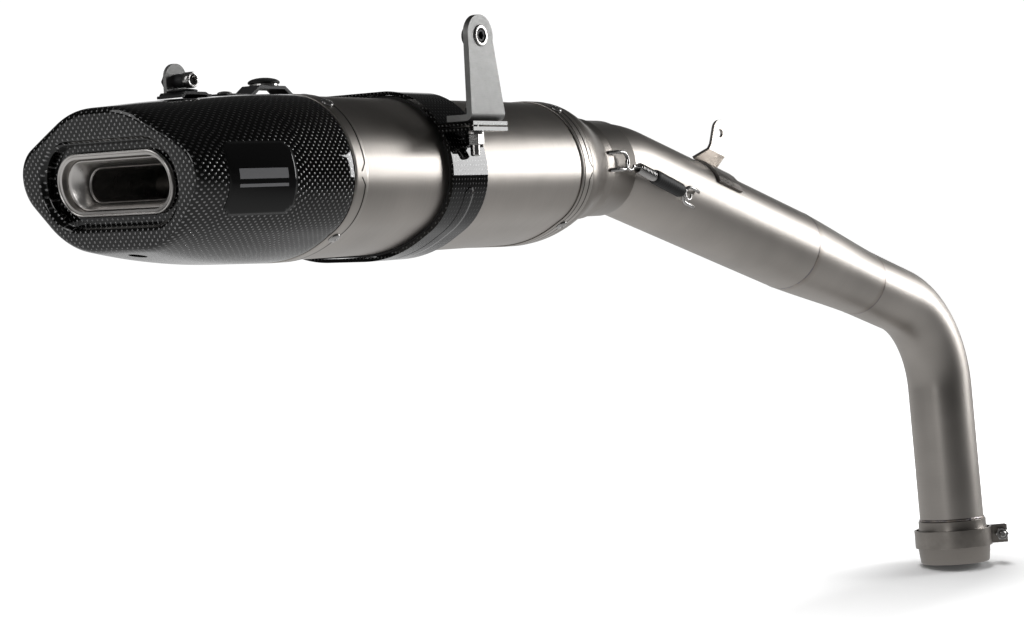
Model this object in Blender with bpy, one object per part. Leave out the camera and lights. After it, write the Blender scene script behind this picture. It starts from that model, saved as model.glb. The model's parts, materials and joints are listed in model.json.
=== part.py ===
"""Under-seat racing exhaust for a motorcycle.

A flat six-sided silencer with a carbon end cap hangs from a strap clamp. Its inlet stub slips over a
link pipe that tapers, turns down and ends in a clamped inlet collar.

World frame: metres, +Z up, +X towards the front of the motorcycle, +Y to its left. The origin is the
centre of the inlet collar's mouth. Every size below is in millimetres and becomes metres in build().
"""

import math

import bmesh
import bpy
from mathutils import Matrix, Vector, geometry

MM = 0.001
GAP = 0.3  # play left between two pieces that touch

# Resolution
RING_POINTS = 48  # points round the silencer's section
PIPE_POINTS = 28  # points round a pipe
BAR_POINTS = 24  # points round a bolt, ring or washer
ARC_STEPS = 10  # steps in a rounded corner

# Silencer, in its own frame: x runs from the sleeve's rear edge towards the inlet, z = 0 at half height
SILENCER = Vector((-770.0, 120.0, 357.0))
SLEEVE_LENGTH = 253.0
SECTION = ((72.0, 50.0), (95.0, -17.0), (38.5, -50.0))  # shoulder, widest line, edge of the floor
SECTION_RADII = (49.0, 40.0, 88.0)
SLEEVE_SHEET = 1.0
BAND_SHEET = 0.7
REAR_BAND = (0.3, 12.0)
FRONT_BAND = (241.0, 254.0)

# Carbon end cap and outlet
CAP_LENGTH = 114.0
CAP_WALL = 2.5
CAP_SPIGOT = 13.0
FACE = ((20.8, 42.6), (83.7, 9.3), (39.8, -38.0))  # the cap's rear face, same corner order as SECTION
FACE_RADII = (61.0, 21.5, 46.5)
FACE_ROUNDING = 5.0
RAKE = -0.15  # x gained per unit of height at the rear face: its top overhangs
STEP_SIZE = (54.0, 24.5)  # half width and half height of the recess round the outlet
STEP_DEPTH = 8.5
LIP_DEPTH = 6.0  # how far the outlet's lip lies inside the rear face
OUTLET = (44.3, 16.3)  # half width and half height of the outlet tube, outside
LIP = 2.2
OUTLET_WALL = 1.5
INSERT_MOUTH = (34.5, 10.2)
INSERT_LENGTH = 56.5
SCREW_X = -93.0  # the screw that holds the insert
CORE_RADIUS = 27.0
CORE_REAR = Vector((-10.0, 0.0, 0.0))
CORE_FRONT = Vector((256.0, -34.0, 3.0))

# Inlet side
STUB_AXIS = (-38.0, 3.0)  # y and z of the inlet stub in the silencer's frame
STUB_RADIUS = 34.8
STUB_WALL = 1.4
STUB_END = 332.0
NECK_START = 292.0
NECK_END = 300.0
NECK_SHEET = 1.4

# Strap clamp and hanger
STRAP = (90.0, 126.0)
STRAP_SHEET = 2.5
LINER_SHEET = 1.3
EAR_TIP = -107.0
EAR_GAP = (27.6, 28.6)  # heights of the two ears' facing sides
HANGER_Y = -102.0
HANGER_SHEET = 4.0
HANGER_HOLE = (105.5, 84.0)
HANGER_TOP_RADIUS = 13.0
HANGER_FOOT_END = -84.5
STRAP_BOLT = (109.0, -93.5)

# Link pipe: its centre line's corners in the world frame
LINK_START = Vector((-458.0, 82.0, 360.0))
LINK_BEND = Vector((-420.0, 82.0, 360.0))
LINK_ELBOW = Vector((10.6, 18.4, 219.0))
LINK_MOUTH = Vector((0.0, 0.0, 0.0))
LINK_BEND_RADIUS = 80.0
LINK_ELBOW_RADIUS = 84.0
MAIN_RADIUS = 33.0
DOWN_RADIUS = 28.0
PIPE_WALL = 1.4
CONE_FROM = 228.0  # distance from LINK_BEND to the cone's two ends
CONE_TO = 334.0

# Inlet collar and its clamp
COLLAR_LENGTH = 38.0
COLLAR_RADII = (29.6, 32.0, 30.0)
CLAMP_SPAN = (14.0, 30.0)
CLAMP_SHEET = 1.6
CLAMP_SIDE = Vector((0.58, -0.81, 0.0)).normalized()
LUG_REACH = 14.0

# Frame tab on the link pipe
TAB_AT = 92.0  # distance from LINK_BEND to its rear edge
TAB_FOOT = 29.0
TAB_FOLD = (10.0, 9.4)  # how far out and up the web leans before the plate stands up
TAB_TOP = 27.0  # height of its round end's centre
TAB_RADIUS = 8.4
TAB_SHEET = 2.5

# Springs
SPRING_RADIUS = 4.2
SPRING_COVER_RADIUS = 5.4
SPRING_WIRE = 1.2
SPRING_STAND_OFF = {1: 9.5, -1: 6.0}  # left and right: the pipe bends away from the right one

# Finishes: colour, metallic, roughness
TITANIUM = ((0.46, 0.43, 0.40), 1.0, 0.32)
DARK_TITANIUM = ((0.30, 0.28, 0.26), 1.0, 0.36)
CARBON = ((0.012, 0.012, 0.013), 0.0, 0.12)
ALLOY = ((0.60, 0.60, 0.59), 1.0, 0.45)
STEEL = ((0.55, 0.55, 0.54), 1.0, 0.25)
BLACK_STEEL = ((0.03, 0.03, 0.03), 0.6, 0.45)
RUBBER = ((0.015, 0.015, 0.015), 0.0, 0.7)
WOOL = ((0.75, 0.70, 0.55), 0.0, 0.95)

Y_AXIS = Vector((0.0, 1.0, 0.0))
Z_AXIS = Vector((0.0, 0.0, 1.0))
DOWN_PIPE = (LINK_ELBOW - LINK_MOUTH).normalized()


# ---------------------------------------------------------------- outlines

def mirrored(half):
    """A full list, clockwise from the top, out of the values of its +y half."""
    return list(half) + list(reversed(half))


def mirrored_corners(half):
    return [Vector(c) for c in half] + [Vector((-y, z)) for y, z in reversed(half)]


def grown(corners, grow):
    """The corners of the same outline with every side moved outwards by grow."""
    moved = []
    for i, corner in enumerate(corners):
        before = (corner - corners[i - 1]).normalized()
        after = (corners[(i + 1) % len(corners)] - corner).normalized()
        side_before = Vector((-before.y, before.x))
        side_after = Vector((-after.y, after.x))
        moved.append(corner + (side_before + side_after) * (grow / (1 + side_before.dot(side_after))))
    return moved


def corner_arc(before, corner, after, radius):
    """Points of the arc that rounds one corner, clockwise."""
    to_before = (before - corner).normalized()
    to_after = (after - corner).normalized()
    half_angle = to_before.angle(to_after) / 2
    reach = radius / math.tan(half_angle)
    start = corner + to_before * reach
    centre = corner + (to_before + to_after).normalized() * (radius / math.sin(half_angle))
    turn = math.pi - 2 * half_angle
    spoke = start - centre
    arc = []
    for k in range(ARC_STEPS + 1):
        angle = -turn * k / ARC_STEPS
        arc.append(centre + Matrix.Rotation(angle, 2) @ spoke)
    return arc


def evenly(points, count):
    """count points at equal steps along a closed line, from its first point on."""
    line = points + [points[0]]
    lengths = [(b - a).length for a, b in zip(line, line[1:])]
    total = sum(lengths)
    spaced = []
    done = 0.0
    k = 0
    for i in range(count):
        target = total * i / count
        while done + lengths[k] < target:
            done += lengths[k]
            k += 1
        spaced.append(line[k].lerp(line[k + 1], (target - done) / lengths[k]))
    return spaced


def rounded(corners, radii, count=RING_POINTS):
    """A rounded outline of count points, clockwise from the middle of its top side."""
    points = [(corners[-1] + corners[0]) / 2]
    for i, corner in enumerate(corners):
        after = corners[(i + 1) % len(corners)]
        points += corner_arc(corners[i - 1], corner, after, radii[i])
    return evenly(points, count)


def section(grow=0.0):
    """The silencer's six-sided outline, grown outwards."""
    radii = [r + grow for r in mirrored(SECTION_RADII)]
    return rounded(grown(mirrored_corners(SECTION), grow), radii)


def face(grow=0.0):
    """The outline of the cap's rear face, grown outwards."""
    radii = [max(r + grow, 2.0) for r in mirrored(FACE_RADII)]
    return rounded(grown(mirrored_corners(FACE), grow), radii)


def stadium(half_width, half_height, count=RING_POINTS):
    """A slot with round ends."""
    corners = mirrored_corners(((half_width, half_height), (half_width, -half_height)))
    return rounded(corners, [half_height * 0.98] * 4, count)


def circle(radius, count=BAR_POINTS, centre=(0.0, 0.0)):
    """A circle, clockwise from its top."""
    steps = [math.tau * i / count for i in range(count)]
    return [Vector((centre[0] + radius * math.sin(a), centre[1] + radius * math.cos(a))) for a in steps]


def hexagon(across_flats, count=BAR_POINTS):
    """A hexagon drawn with count points."""
    points = []
    for i in range(count):
        angle = math.tau * i / count
        fold = (angle + math.pi / 6) % (math.pi / 3) - math.pi / 6
        points.append(Vector((math.sin(angle), math.cos(angle))) * (across_flats / 2 / math.cos(fold)))
    return points


def blend(a, b, t):
    return [p.lerp(q, t) for p, q in zip(a, b)]


def station(x, outline, rake=0.0):
    """An outline as a ring across the silencer at x, leaning by rake."""
    return [SILENCER + Vector((x + rake * p.y, p.x, p.y)) for p in outline]


# ---------------------------------------------------------------- making objects

def finish_for(name, finish):
    """A Principled material of the piece's own."""
    colour, metallic, roughness = finish
    material = bpy.data.materials.new(name + "_finish")
    material.use_nodes = True
    shader = material.node_tree.nodes["Principled BSDF"]
    shader.inputs["Base Color"].default_value = (*colour, 1.0)
    shader.inputs["Metallic"].default_value = metallic
    shader.inputs["Roughness"].default_value = roughness
    return material


def build(name, mesh_data, finish, origin):
    """An object from a bmesh in millimetres, with its own origin."""
    bmesh.ops.recalc_face_normals(mesh_data, faces=mesh_data.faces)
    bmesh.ops.translate(mesh_data, verts=mesh_data.verts, vec=-origin)
    bmesh.ops.scale(mesh_data, verts=mesh_data.verts, vec=(MM, MM, MM))
    mesh = bpy.data.meshes.new(name)
    mesh_data.to_mesh(mesh)
    mesh_data.free()
    mesh.shade_smooth()
    mesh.set_sharp_from_angle(angle=math.radians(32))
    mesh.materials.append(finish_for(name, finish))
    piece = bpy.data.objects.new(name, mesh)
    piece.location = origin * MM
    bpy.context.collection.objects.link(piece)
    return piece


def skin(name, rings, finish, closed=False, origin=SILENCER):
    """A solid over rings of equal count: capped at both ends, or closed on itself."""
    mesh_data = bmesh.new()
    loops = [[mesh_data.verts.new(p) for p in ring] for ring in rings]
    pairs = list(zip(loops, loops[1:]))
    if closed:
        pairs.append((loops[-1], loops[0]))
    else:
        mesh_data.faces.new(loops[0])
        mesh_data.faces.new(loops[-1])
    for here, there in pairs:
        for i in range(len(here)):
            j = (i + 1) % len(here)
            mesh_data.faces.new((here[i], here[j], there[j], there[i]))
    return build(name, mesh_data, finish, origin)


def shell(name, outer, inner, finish, origin=SILENCER):
    """A hollow piece, open at both ends, from outer rings and inner rings."""
    return skin(name, outer + inner[::-1], finish, closed=True, origin=origin)


def facing(axis, up=Z_AXIS):
    """Two directions across an axis: sideways and upwards."""
    side = up.cross(axis)
    side.normalize()
    return side, axis.cross(side)


def ring_on(axis, centre, outline):
    """An outline as a ring across an axis at a point."""
    up = Z_AXIS if abs(axis.z) < 0.9 else Y_AXIS
    side, rise = facing(axis, up)
    return [centre + side * p.x + rise * p.y for p in outline]


def turned(name, steps, base, axis, finish, origin=None):
    """A solid bar along an axis from (outline, distance) steps."""
    rings = [ring_on(axis, base + axis * along, outline) for outline, along in steps]
    return skin(name, rings, finish, origin=base if origin is None else origin)


def tube(name, outer, inner, base, axis, finish, origin=None):
    """A hollow turned piece from outer and inner (outline, distance) steps."""
    outside = [ring_on(axis, base + axis * along, outline) for outline, along in outer]
    inside = [ring_on(axis, base + axis * along, outline) for outline, along in inner]
    return shell(name, outside, inside, finish, origin=base if origin is None else origin)


def prism(name, outline, start, push, finish, origin=SILENCER):
    """A flat outline of world points moved to start and pushed along a direction."""
    near = [p + start for p in outline]
    far = [p + start + push for p in outline]
    return skin(name, [near, far], finish, origin=origin)


def drill(piece, centre, axis, radius, depth):
    """Cut a round hole through a piece, centred on a point."""
    outline = circle(radius)
    rings = [ring_on(axis, centre + axis * along, outline) for along in (-depth / 2, depth / 2)]
    cutter = skin("drill", rings, STEEL, origin=centre)
    cutter.hide_render = True
    cutter.display_type = "WIRE"
    cut = piece.modifiers.new("hole", "BOOLEAN")
    cut.operation = "DIFFERENCE"
    cut.solver = "EXACT"
    cut.object = cutter
    bpy.context.view_layer.update()
    depsgraph = bpy.context.evaluated_depsgraph_get()
    drilled = bpy.data.meshes.new_from_object(piece.evaluated_get(depsgraph))
    piece.modifiers.clear()
    piece.data = drilled
    drilled.name = piece.name
    bpy.data.objects.remove(cutter)


def sheet_outline(path, thickness):
    """The closed outline of a bent strip, from its centre line in 2D."""
    left = []
    right = []
    for i, point in enumerate(path):
        before = (point - path[i - 1]).normalized() if i else None
        after = (path[i + 1] - point).normalized() if i + 1 < len(path) else None
        first = before or after
        second = after or before
        sides = Vector((-first.y, first.x)) + Vector((-second.y, second.x))
        shift = sides * (thickness / 2 / (1 + first.dot(second)))
        left.append(point + shift)
        right.append(point - shift)
    return left + right[::-1]


def rivet(name, foot, axis, radius=4.0):
    """A pop rivet: a flat flange under a low dome."""
    steps = [(circle(radius, 12), 0.1), (circle(radius, 12), 0.7)]
    steps += [(circle(radius * 0.78, 12), 1.3), (circle(radius * 0.35, 12), 1.7)]
    return turned(name, steps, foot, axis, STEEL)


# ---------------------------------------------------------------- silencer body

def make_sleeve():
    outside = section(-0.7)
    inside = section(-0.7 - SLEEVE_SHEET)
    ends = (1.0, SLEEVE_LENGTH)
    shell("silencer_sleeve", [station(x, outside) for x in ends], [station(x, inside) for x in ends],
          TITANIUM)


def make_band(name, span):
    outside = section(BAND_SHEET - 0.4)
    inside = section(-0.4)
    shell(name, [station(x, outside) for x in span], [station(x, inside) for x in span], TITANIUM)


def cap_ring(t, inset=0.0):
    """A ring of the end cap's loft, from t = 0 at the band to t = 1 at the rear face."""
    outline = blend(section(-inset), face(-inset), t ** 2.2)
    length = CAP_LENGTH - inset
    return station(-length * t, outline, RAKE * t)


def make_end_cap():
    rear = -CAP_LENGTH
    recess = stadium(*STEP_SIZE)
    opening = stadium(OUTLET[0] + GAP, OUTLET[1] + GAP)
    outer = [station(CAP_SPIGOT, section(-2.0)), station(-0.3, section(-2.0))]
    outer += [cap_ring(0.003), cap_ring(0.2), cap_ring(0.4), cap_ring(0.6), cap_ring(0.78), cap_ring(0.9)]
    outer += [station(rear + FACE_ROUNDING * 0.35, face(-1.0), RAKE), station(rear, face(-4.5), RAKE)]
    outer += [station(rear, recess, RAKE), station(rear + STEP_DEPTH, stadium(53.0, 23.5), RAKE)]
    outer += [station(rear + STEP_DEPTH, opening, RAKE)]
    inner = [station(CAP_SPIGOT, section(-4.5)), cap_ring(0.003, 4.5), cap_ring(0.25, CAP_WALL)]
    inner += [cap_ring(0.5, CAP_WALL), cap_ring(0.7, CAP_WALL), cap_ring(0.86, CAP_WALL)]
    inner += [station(rear + STEP_DEPTH + CAP_WALL, blend(opening, face(-6.0), 0.75), RAKE)]
    inner += [station(rear + STEP_DEPTH + CAP_WALL, opening, RAKE)]
    cap = shell("end_cap", outer, inner, CARBON)
    drill(cap, SILENCER + Vector((SCREW_X, 0.0, -38.0)), Z_AXIS, 5.5, 22.0)


def make_outlet():
    """The outlet tube: a rolled lip, a slot-shaped mouth and a round socket on the core tube."""
    lip_x = -CAP_LENGTH + LIP_DEPTH
    socket = CORE_RADIUS + 1.2 + OUTLET_WALL
    width, height = OUTLET
    slot = stadium(width, height)
    lip = stadium(width + LIP, height + LIP)
    round_end = circle(socket, RING_POINTS)
    outer = [station(lip_x, stadium(width - 0.6, height - 0.6), RAKE), station(lip_x - 1.2, slot, RAKE)]
    outer += [station(lip_x - 1.4, stadium(width + 1.2, height + 1.2), RAKE), station(lip_x, lip, RAKE)]
    outer += [station(lip_x + 1.6, stadium(width + LIP * 0.8, height + LIP * 0.8), RAKE)]
    outer += [station(lip_x + 2.2, slot, RAKE), station(-60.0, slot)]
    outer += [station(-45.0, blend(slot, round_end, 0.35)), station(-30.0, blend(slot, round_end, 0.8))]
    outer += [station(-20.0, round_end), station(-6.0, round_end)]
    inner_slot = stadium(width - OUTLET_WALL, height - OUTLET_WALL)
    inner_round = circle(socket - OUTLET_WALL, RING_POINTS)
    inner = [station(lip_x + 2.0, inner_slot, RAKE), station(-60.0, inner_slot)]
    inner += [station(-45.0, blend(inner_slot, inner_round, 0.35))]
    inner += [station(-30.0, blend(inner_slot, inner_round, 0.8))]
    inner += [station(-20.0, inner_round), station(-6.0, inner_round)]
    rim = shell("outlet_tube", outer, inner, TITANIUM)
    drill(rim, SILENCER + Vector((SCREW_X, 0.0, -16.0)), Z_AXIS, 2.9, 8.0)


def make_outlet_insert():
    """The removable noise insert: a flared slot mouth and a straight slot tube."""
    front = -CAP_LENGTH + LIP_DEPTH + 4.0
    wide = (OUTLET[0] - OUTLET_WALL - GAP, OUTLET[1] - OUTLET_WALL - GAP)
    mouth = stadium(*INSERT_MOUTH)
    outer = [station(front, stadium(*wide), RAKE), station(front + 22.0, stadium(*wide))]
    outer += [station(front + 26.0, stadium(INSERT_MOUTH[0] + 1.3, INSERT_MOUTH[1] + 1.3))]
    outer += [station(front + INSERT_LENGTH, stadium(INSERT_MOUTH[0] - 4.0, INSERT_MOUTH[1] + 1.3))]
    inner = [station(front, stadium(wide[0] - 1.2, wide[1] - 1.2), RAKE), station(front + 9.0, mouth)]
    inner += [station(front + 24.0, mouth)]
    inner += [station(front + INSERT_LENGTH, stadium(INSERT_MOUTH[0] - 5.3, INSERT_MOUTH[1]))]
    insert = shell("outlet_insert", outer, inner, TITANIUM)
    drill(insert, SILENCER + Vector((SCREW_X, 0.0, -14.0)), Z_AXIS, 2.9, 5.6)


def make_insert_screw():
    base = SILENCER + Vector((SCREW_X, 0.0, -11.8))
    steps = [(circle(2.4), 0.0), (circle(2.4), 4.9), (circle(4.6), 4.9), (circle(4.6), 6.2)]
    steps += [(circle(3.4), 7.4), (circle(1.5), 7.8)]
    turned("insert_screw", steps, base, -Z_AXIS, BLACK_STEEL)


def make_core_tube():
    axis = (CORE_FRONT - CORE_REAR).normalized()
    length = (CORE_FRONT - CORE_REAR).length
    outer = [(circle(CORE_RADIUS, PIPE_POINTS), 0.0), (circle(CORE_RADIUS, PIPE_POINTS), length)]
    inner = [(circle(CORE_RADIUS - 1.0, PIPE_POINTS), 0.0), (circle(CORE_RADIUS - 1.0, PIPE_POINTS), length)]
    tube("core_tube", outer, inner, SILENCER + CORE_REAR, axis, STEEL)


def core_centre(x):
    """Where the core tube's axis passes a plane across the silencer."""
    t = (x - CORE_REAR.x) / (CORE_FRONT.x - CORE_REAR.x)
    centre = CORE_REAR.lerp(CORE_FRONT, t)
    return centre.y, centre.z


def make_baffle(name, x):
    """A pressed plate that closes one end of the packing and carries the core tube."""
    rim = section(-2.2)
    holes = []
    for at in (x, x + 1.2):
        holes.append(station(at, circle(CORE_RADIUS + 0.9, RING_POINTS, core_centre(x + 0.6))))
    shell(name, [station(x, rim), station(x + 1.2, rim)], holes, TITANIUM)


def make_packing():
    rim = section(-2.4)
    ends = (16.5, 236.0)
    holes = [station(x, circle(CORE_RADIUS + 0.9, RING_POINTS, core_centre(x))) for x in ends]
    shell("packing", [station(x, rim) for x in ends], holes, WOOL)


def make_inlet_cap():
    """The front cap: a spigot in the sleeve, a rounded edge and a cone down to the stub's neck."""
    def ring(x, share, inset):
        neck = circle(STUB_RADIUS + GAP + NECK_SHEET - inset, RING_POINTS, STUB_AXIS)
        return station(x, blend(section(-inset), neck, share))

    outer = [station(240.0, section(-2.0)), station(253.6, section(-2.0)), ring(254.3, 0.0, 0.0)]
    outer += [ring(258.0, 0.008, 0.0), ring(263.0, 0.08, 0.0), ring(275.0, 0.45, 0.0)]
    outer += [ring(287.0, 0.88, 0.0), ring(NECK_START, 1.0, 0.0), ring(NECK_END, 1.0, 0.0)]
    inner = [station(240.0, section(-3.4)), station(253.6, section(-3.4)), ring(261.0, 0.08, NECK_SHEET)]
    inner += [ring(273.5, 0.45, NECK_SHEET), ring(286.0, 0.88, NECK_SHEET), ring(NECK_START, 1.0, NECK_SHEET)]
    inner += [ring(NECK_END, 1.0, NECK_SHEET)]
    shell("inlet_cap", outer, inner, DARK_TITANIUM)


def make_stub():
    outer = [station(x, circle(STUB_RADIUS, 36, STUB_AXIS)) for x in (262.0, STUB_END)]
    inner = [station(x, circle(STUB_RADIUS - STUB_WALL, 36, STUB_AXIS)) for x in (262.0, STUB_END)]
    shell("inlet_stub", outer, inner, DARK_TITANIUM)


def surface_point(x, side, height):
    """A point and its outward direction on the band's surface, at a height on one side (+1 or -1)."""
    outline = section(BAND_SHEET - 0.4)
    half = [(p, q) for p, q in zip(outline, outline[1:]) if p.x * side > 0 and q.x * side > 0]
    p, q = min(half, key=lambda pair: abs((pair[0].y + pair[1].y) / 2 - height))
    along = (q - p).normalized()
    middle = (p + q) / 2
    return SILENCER + Vector((x, middle.x, middle.y)), Vector((0.0, -along.y, along.x))


def make_band_rivets():
    """Rivets through both bands, two on each side."""
    places = {"rear": sum(REAR_BAND) / 2, "front": sum(FRONT_BAND) / 2}
    sides = {"left": 1, "right": -1}
    heights = {"upper": 43.0, "lower": -36.0}
    for end, x in places.items():
        for side, sign in sides.items():
            for level, height in heights.items():
                foot, outward = surface_point(x, sign, height)
                rivet(f"rivet_{end}_{side}_{level}", foot, outward)


# ---------------------------------------------------------------- strap clamp and hanger

def wrap(name, span, inside_grow, sheet, ear_reach, gap, finish):
    """An open band round the silencer, split on the right side, with ears if ear_reach is given."""
    low, high = gap
    inside = section(inside_grow)
    outside = section(inside_grow + sheet)

    def from_split(outline, below, above):
        rising = [p for p in outline[len(outline) // 2:] if p.x < 0]
        tail = [p for p in rising if p.y > above]
        head = outline[:len(outline) // 2] + [p for p in outline[len(outline) // 2:] if p.x >= 0]
        head += [p for p in rising if p.y < below]
        return tail + head

    def edge_at(outline, height):
        rising = [p for p in outline[len(outline) // 2:] if p.x < -60]
        for p, q in zip(rising, rising[1:]):
            if p.y <= height <= q.y:
                return p.lerp(q, (height - p.y) / (q.y - p.y))
        return rising[-1]

    thickness = sheet if ear_reach else 0.0
    inner_line = [edge_at(inside, high)] + from_split(inside, low, high) + [edge_at(inside, low)]
    top, bottom = high + thickness, low - thickness
    outer_line = [edge_at(outside, top)] + from_split(outside, bottom, top) + [edge_at(outside, bottom)]
    outline = inner_line
    if ear_reach:
        outline = [Vector((ear_reach, high))] + inner_line
        outline += [Vector((ear_reach, low)), Vector((ear_reach, bottom))]
    outline = outline + outer_line[::-1]
    if ear_reach:
        outline.append(Vector((ear_reach, top)))
    points = [Vector((0.0, p.x, p.y)) for p in outline]
    start = SILENCER + Vector((span[0], 0.0, 0.0))
    return prism(name, points, start, Vector((span[1] - span[0], 0.0, 0.0)), finish)


def make_strap():
    wrap("strap_liner", (STRAP[0] + 1.0, STRAP[1] - 1.0), -0.4, LINER_SHEET, 0.0, (20.0, 36.0), RUBBER)
    strap = wrap("strap_clamp", STRAP, LINER_SHEET, STRAP_SHEET, EAR_TIP, EAR_GAP, CARBON)
    bolt_at = SILENCER + Vector((*STRAP_BOLT, EAR_GAP[0]))
    drill(strap, bolt_at, Z_AXIS, 3.4, 20.0)


def make_hanger():
    """A folded alloy bracket: a foot on the strap's ears and a tall tapered plate with a round top."""
    half = HANGER_SHEET / 2
    foot_z = EAR_GAP[1] + STRAP_SHEET + GAP
    hole_x, hole_z = HANGER_HOLE

    def across(left, right, y, z, normal):
        outer = Vector((0.0, y, z)) + normal * half
        inner = Vector((0.0, y, z)) - normal * half
        return [SILENCER + Vector((left, 0, 0)) + outer, SILENCER + Vector((right, 0, 0)) + outer,
                SILENCER + Vector((right, 0, 0)) + inner, SILENCER + Vector((left, 0, 0)) + inner]

    down = Vector((0.0, 0.0, -1.0))
    out = Vector((0.0, -1.0, 0.0))
    corner = (down + out) * 1.0
    foot_mid = foot_z + half
    rings = [across(93.0, 128.0, HANGER_FOOT_END, foot_mid, down)]
    rings.append(across(93.0, 128.0, HANGER_Y + 4.0, foot_mid, down))
    rings.append(across(93.0, 128.0, HANGER_Y, foot_mid, corner))
    rings.append(across(93.0, 127.6, HANGER_Y, foot_mid + 4.0, out))
    for k in range(9):
        angle = math.radians(-12 + 11.5 * k)
        spread = HANGER_TOP_RADIUS * math.cos(angle)
        rings.append(across(hole_x - spread, hole_x + spread, HANGER_Y,
                            hole_z + HANGER_TOP_RADIUS * math.sin(angle), out))
    hanger = skin("hanger_bracket", rings, ALLOY)
    hole = SILENCER + Vector((hole_x, HANGER_Y, hole_z))
    drill(hanger, hole, Y_AXIS, 6.0, 20.0)
    foot_hole = SILENCER + Vector((*STRAP_BOLT, foot_mid))
    drill(hanger, foot_hole, Z_AXIS, 3.4, 12.0)


def make_hanger_hardware():
    hole = SILENCER + Vector((HANGER_HOLE[0], HANGER_Y, HANGER_HOLE[1]))
    near = -HANGER_SHEET / 2
    outer = [(circle(7.2), -near + 0.1 + 0.8), (circle(7.2), -near + 0.1), (circle(5.7), -near + 0.1)]
    outer += [(circle(5.7), near)]
    inner = [(circle(4.4), -near + 0.9), (circle(4.4), -near + 0.1), (circle(4.4), 0.0), (circle(4.4), near)]
    tube("hanger_bush", outer, inner, hole, -Y_AXIS, STEEL)
    steps = [(circle(3.0), -2.6), (circle(4.0), -2.0), (circle(4.0), 2.4), (circle(6.6), 2.4)]
    steps += [(circle(6.6), 7.6), (circle(5.8), 8.4)]
    turned("hanger_bolt", steps, hole, Y_AXIS, BLACK_STEEL)


def make_strap_hardware():
    """The bolt that closes the strap through the hanger's foot, with its washer and nut."""
    foot_top = EAR_GAP[1] + STRAP_SHEET + GAP + HANGER_SHEET
    lower_side = EAR_GAP[0] - STRAP_SHEET
    base = SILENCER + Vector((*STRAP_BOLT, 0.0))
    steps = [(circle(2.0), 10.0), (circle(3.0), 11.0), (circle(3.0), foot_top + 0.1)]
    steps += [(circle(5.0), foot_top + 0.1), (circle(5.0), foot_top + 4.6), (circle(4.4), foot_top + 5.2)]
    turned("strap_bolt", steps, base, Z_AXIS, STEEL)
    washer_top = lower_side - 0.1
    washer = ((circle(6.2), washer_top - 1.2), (circle(6.2), washer_top))
    bore = ((circle(3.2), washer_top - 1.2), (circle(3.2), washer_top))
    tube("strap_washer", list(washer), list(bore), base, Z_AXIS, STEEL)
    nut_top = washer_top - 1.4
    outer = [(circle(4.6), nut_top - 6.6), (hexagon(10.0), nut_top - 6.2), (hexagon(10.0), nut_top - 0.3)]
    outer += [(circle(4.8), nut_top)]
    inner = [(circle(3.2), nut_top - 6.6), (circle(3.2), nut_top - 3.0), (circle(3.2), nut_top - 1.0)]
    inner += [(circle(3.2), nut_top)]
    tube("strap_nut", outer, inner, base, Z_AXIS, STEEL)


# ---------------------------------------------------------------- brackets on top of the silencer

def strip(name, path, thickness, width, finish, y=0.0):
    """A bent strip whose centre line is drawn in x and z."""
    outline = sheet_outline([Vector(p) for p in path], thickness)
    points = [Vector((p.x, 0.0, p.y)) for p in outline]
    start = SILENCER + Vector((0.0, y - width / 2, 0.0))
    return prism(name, points, start, Vector((0.0, width, 0.0)), finish)


def dome(name, centre, radius, height, finish):
    """A rubber button with a rolled edge."""
    steps = [(circle(radius * 0.96), 0.0), (circle(radius), 0.8)]
    for k in range(1, 5):
        angle = math.radians(21 * k)
        steps.append((circle(radius * math.cos(angle)), 0.8 + (height - 0.8) * math.sin(angle)))
    turned(name, steps, SILENCER + centre, Z_AXIS, finish)


def make_top_bracket():
    """A raised hat bracket with a rubber button, riveted to the cap and the sleeve."""
    path = ((-21.0, 51.4), (1.0, 51.4), (9.0, 57.0), (31.0, 57.0), (39.0, 51.4), (62.0, 51.4))
    strip("top_bracket", path, 2.0, 15.0, BLACK_STEEL)
    washer = [(circle(9.0), 0.1), (circle(9.0), 1.1)]
    turned("top_washer", washer, SILENCER + Vector((20.0, 0.0, 58.0)), Z_AXIS, STEEL)
    dome("top_button", Vector((20.0, 0.0, 59.3)), 9.9, 3.9, RUBBER)
    for end, x in (("rear", -15.0), ("front", 56.0)):
        rivet(f"top_rivet_{end}", SILENCER + Vector((x, 0.0, 52.4)), Z_AXIS, 4.6)


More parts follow.
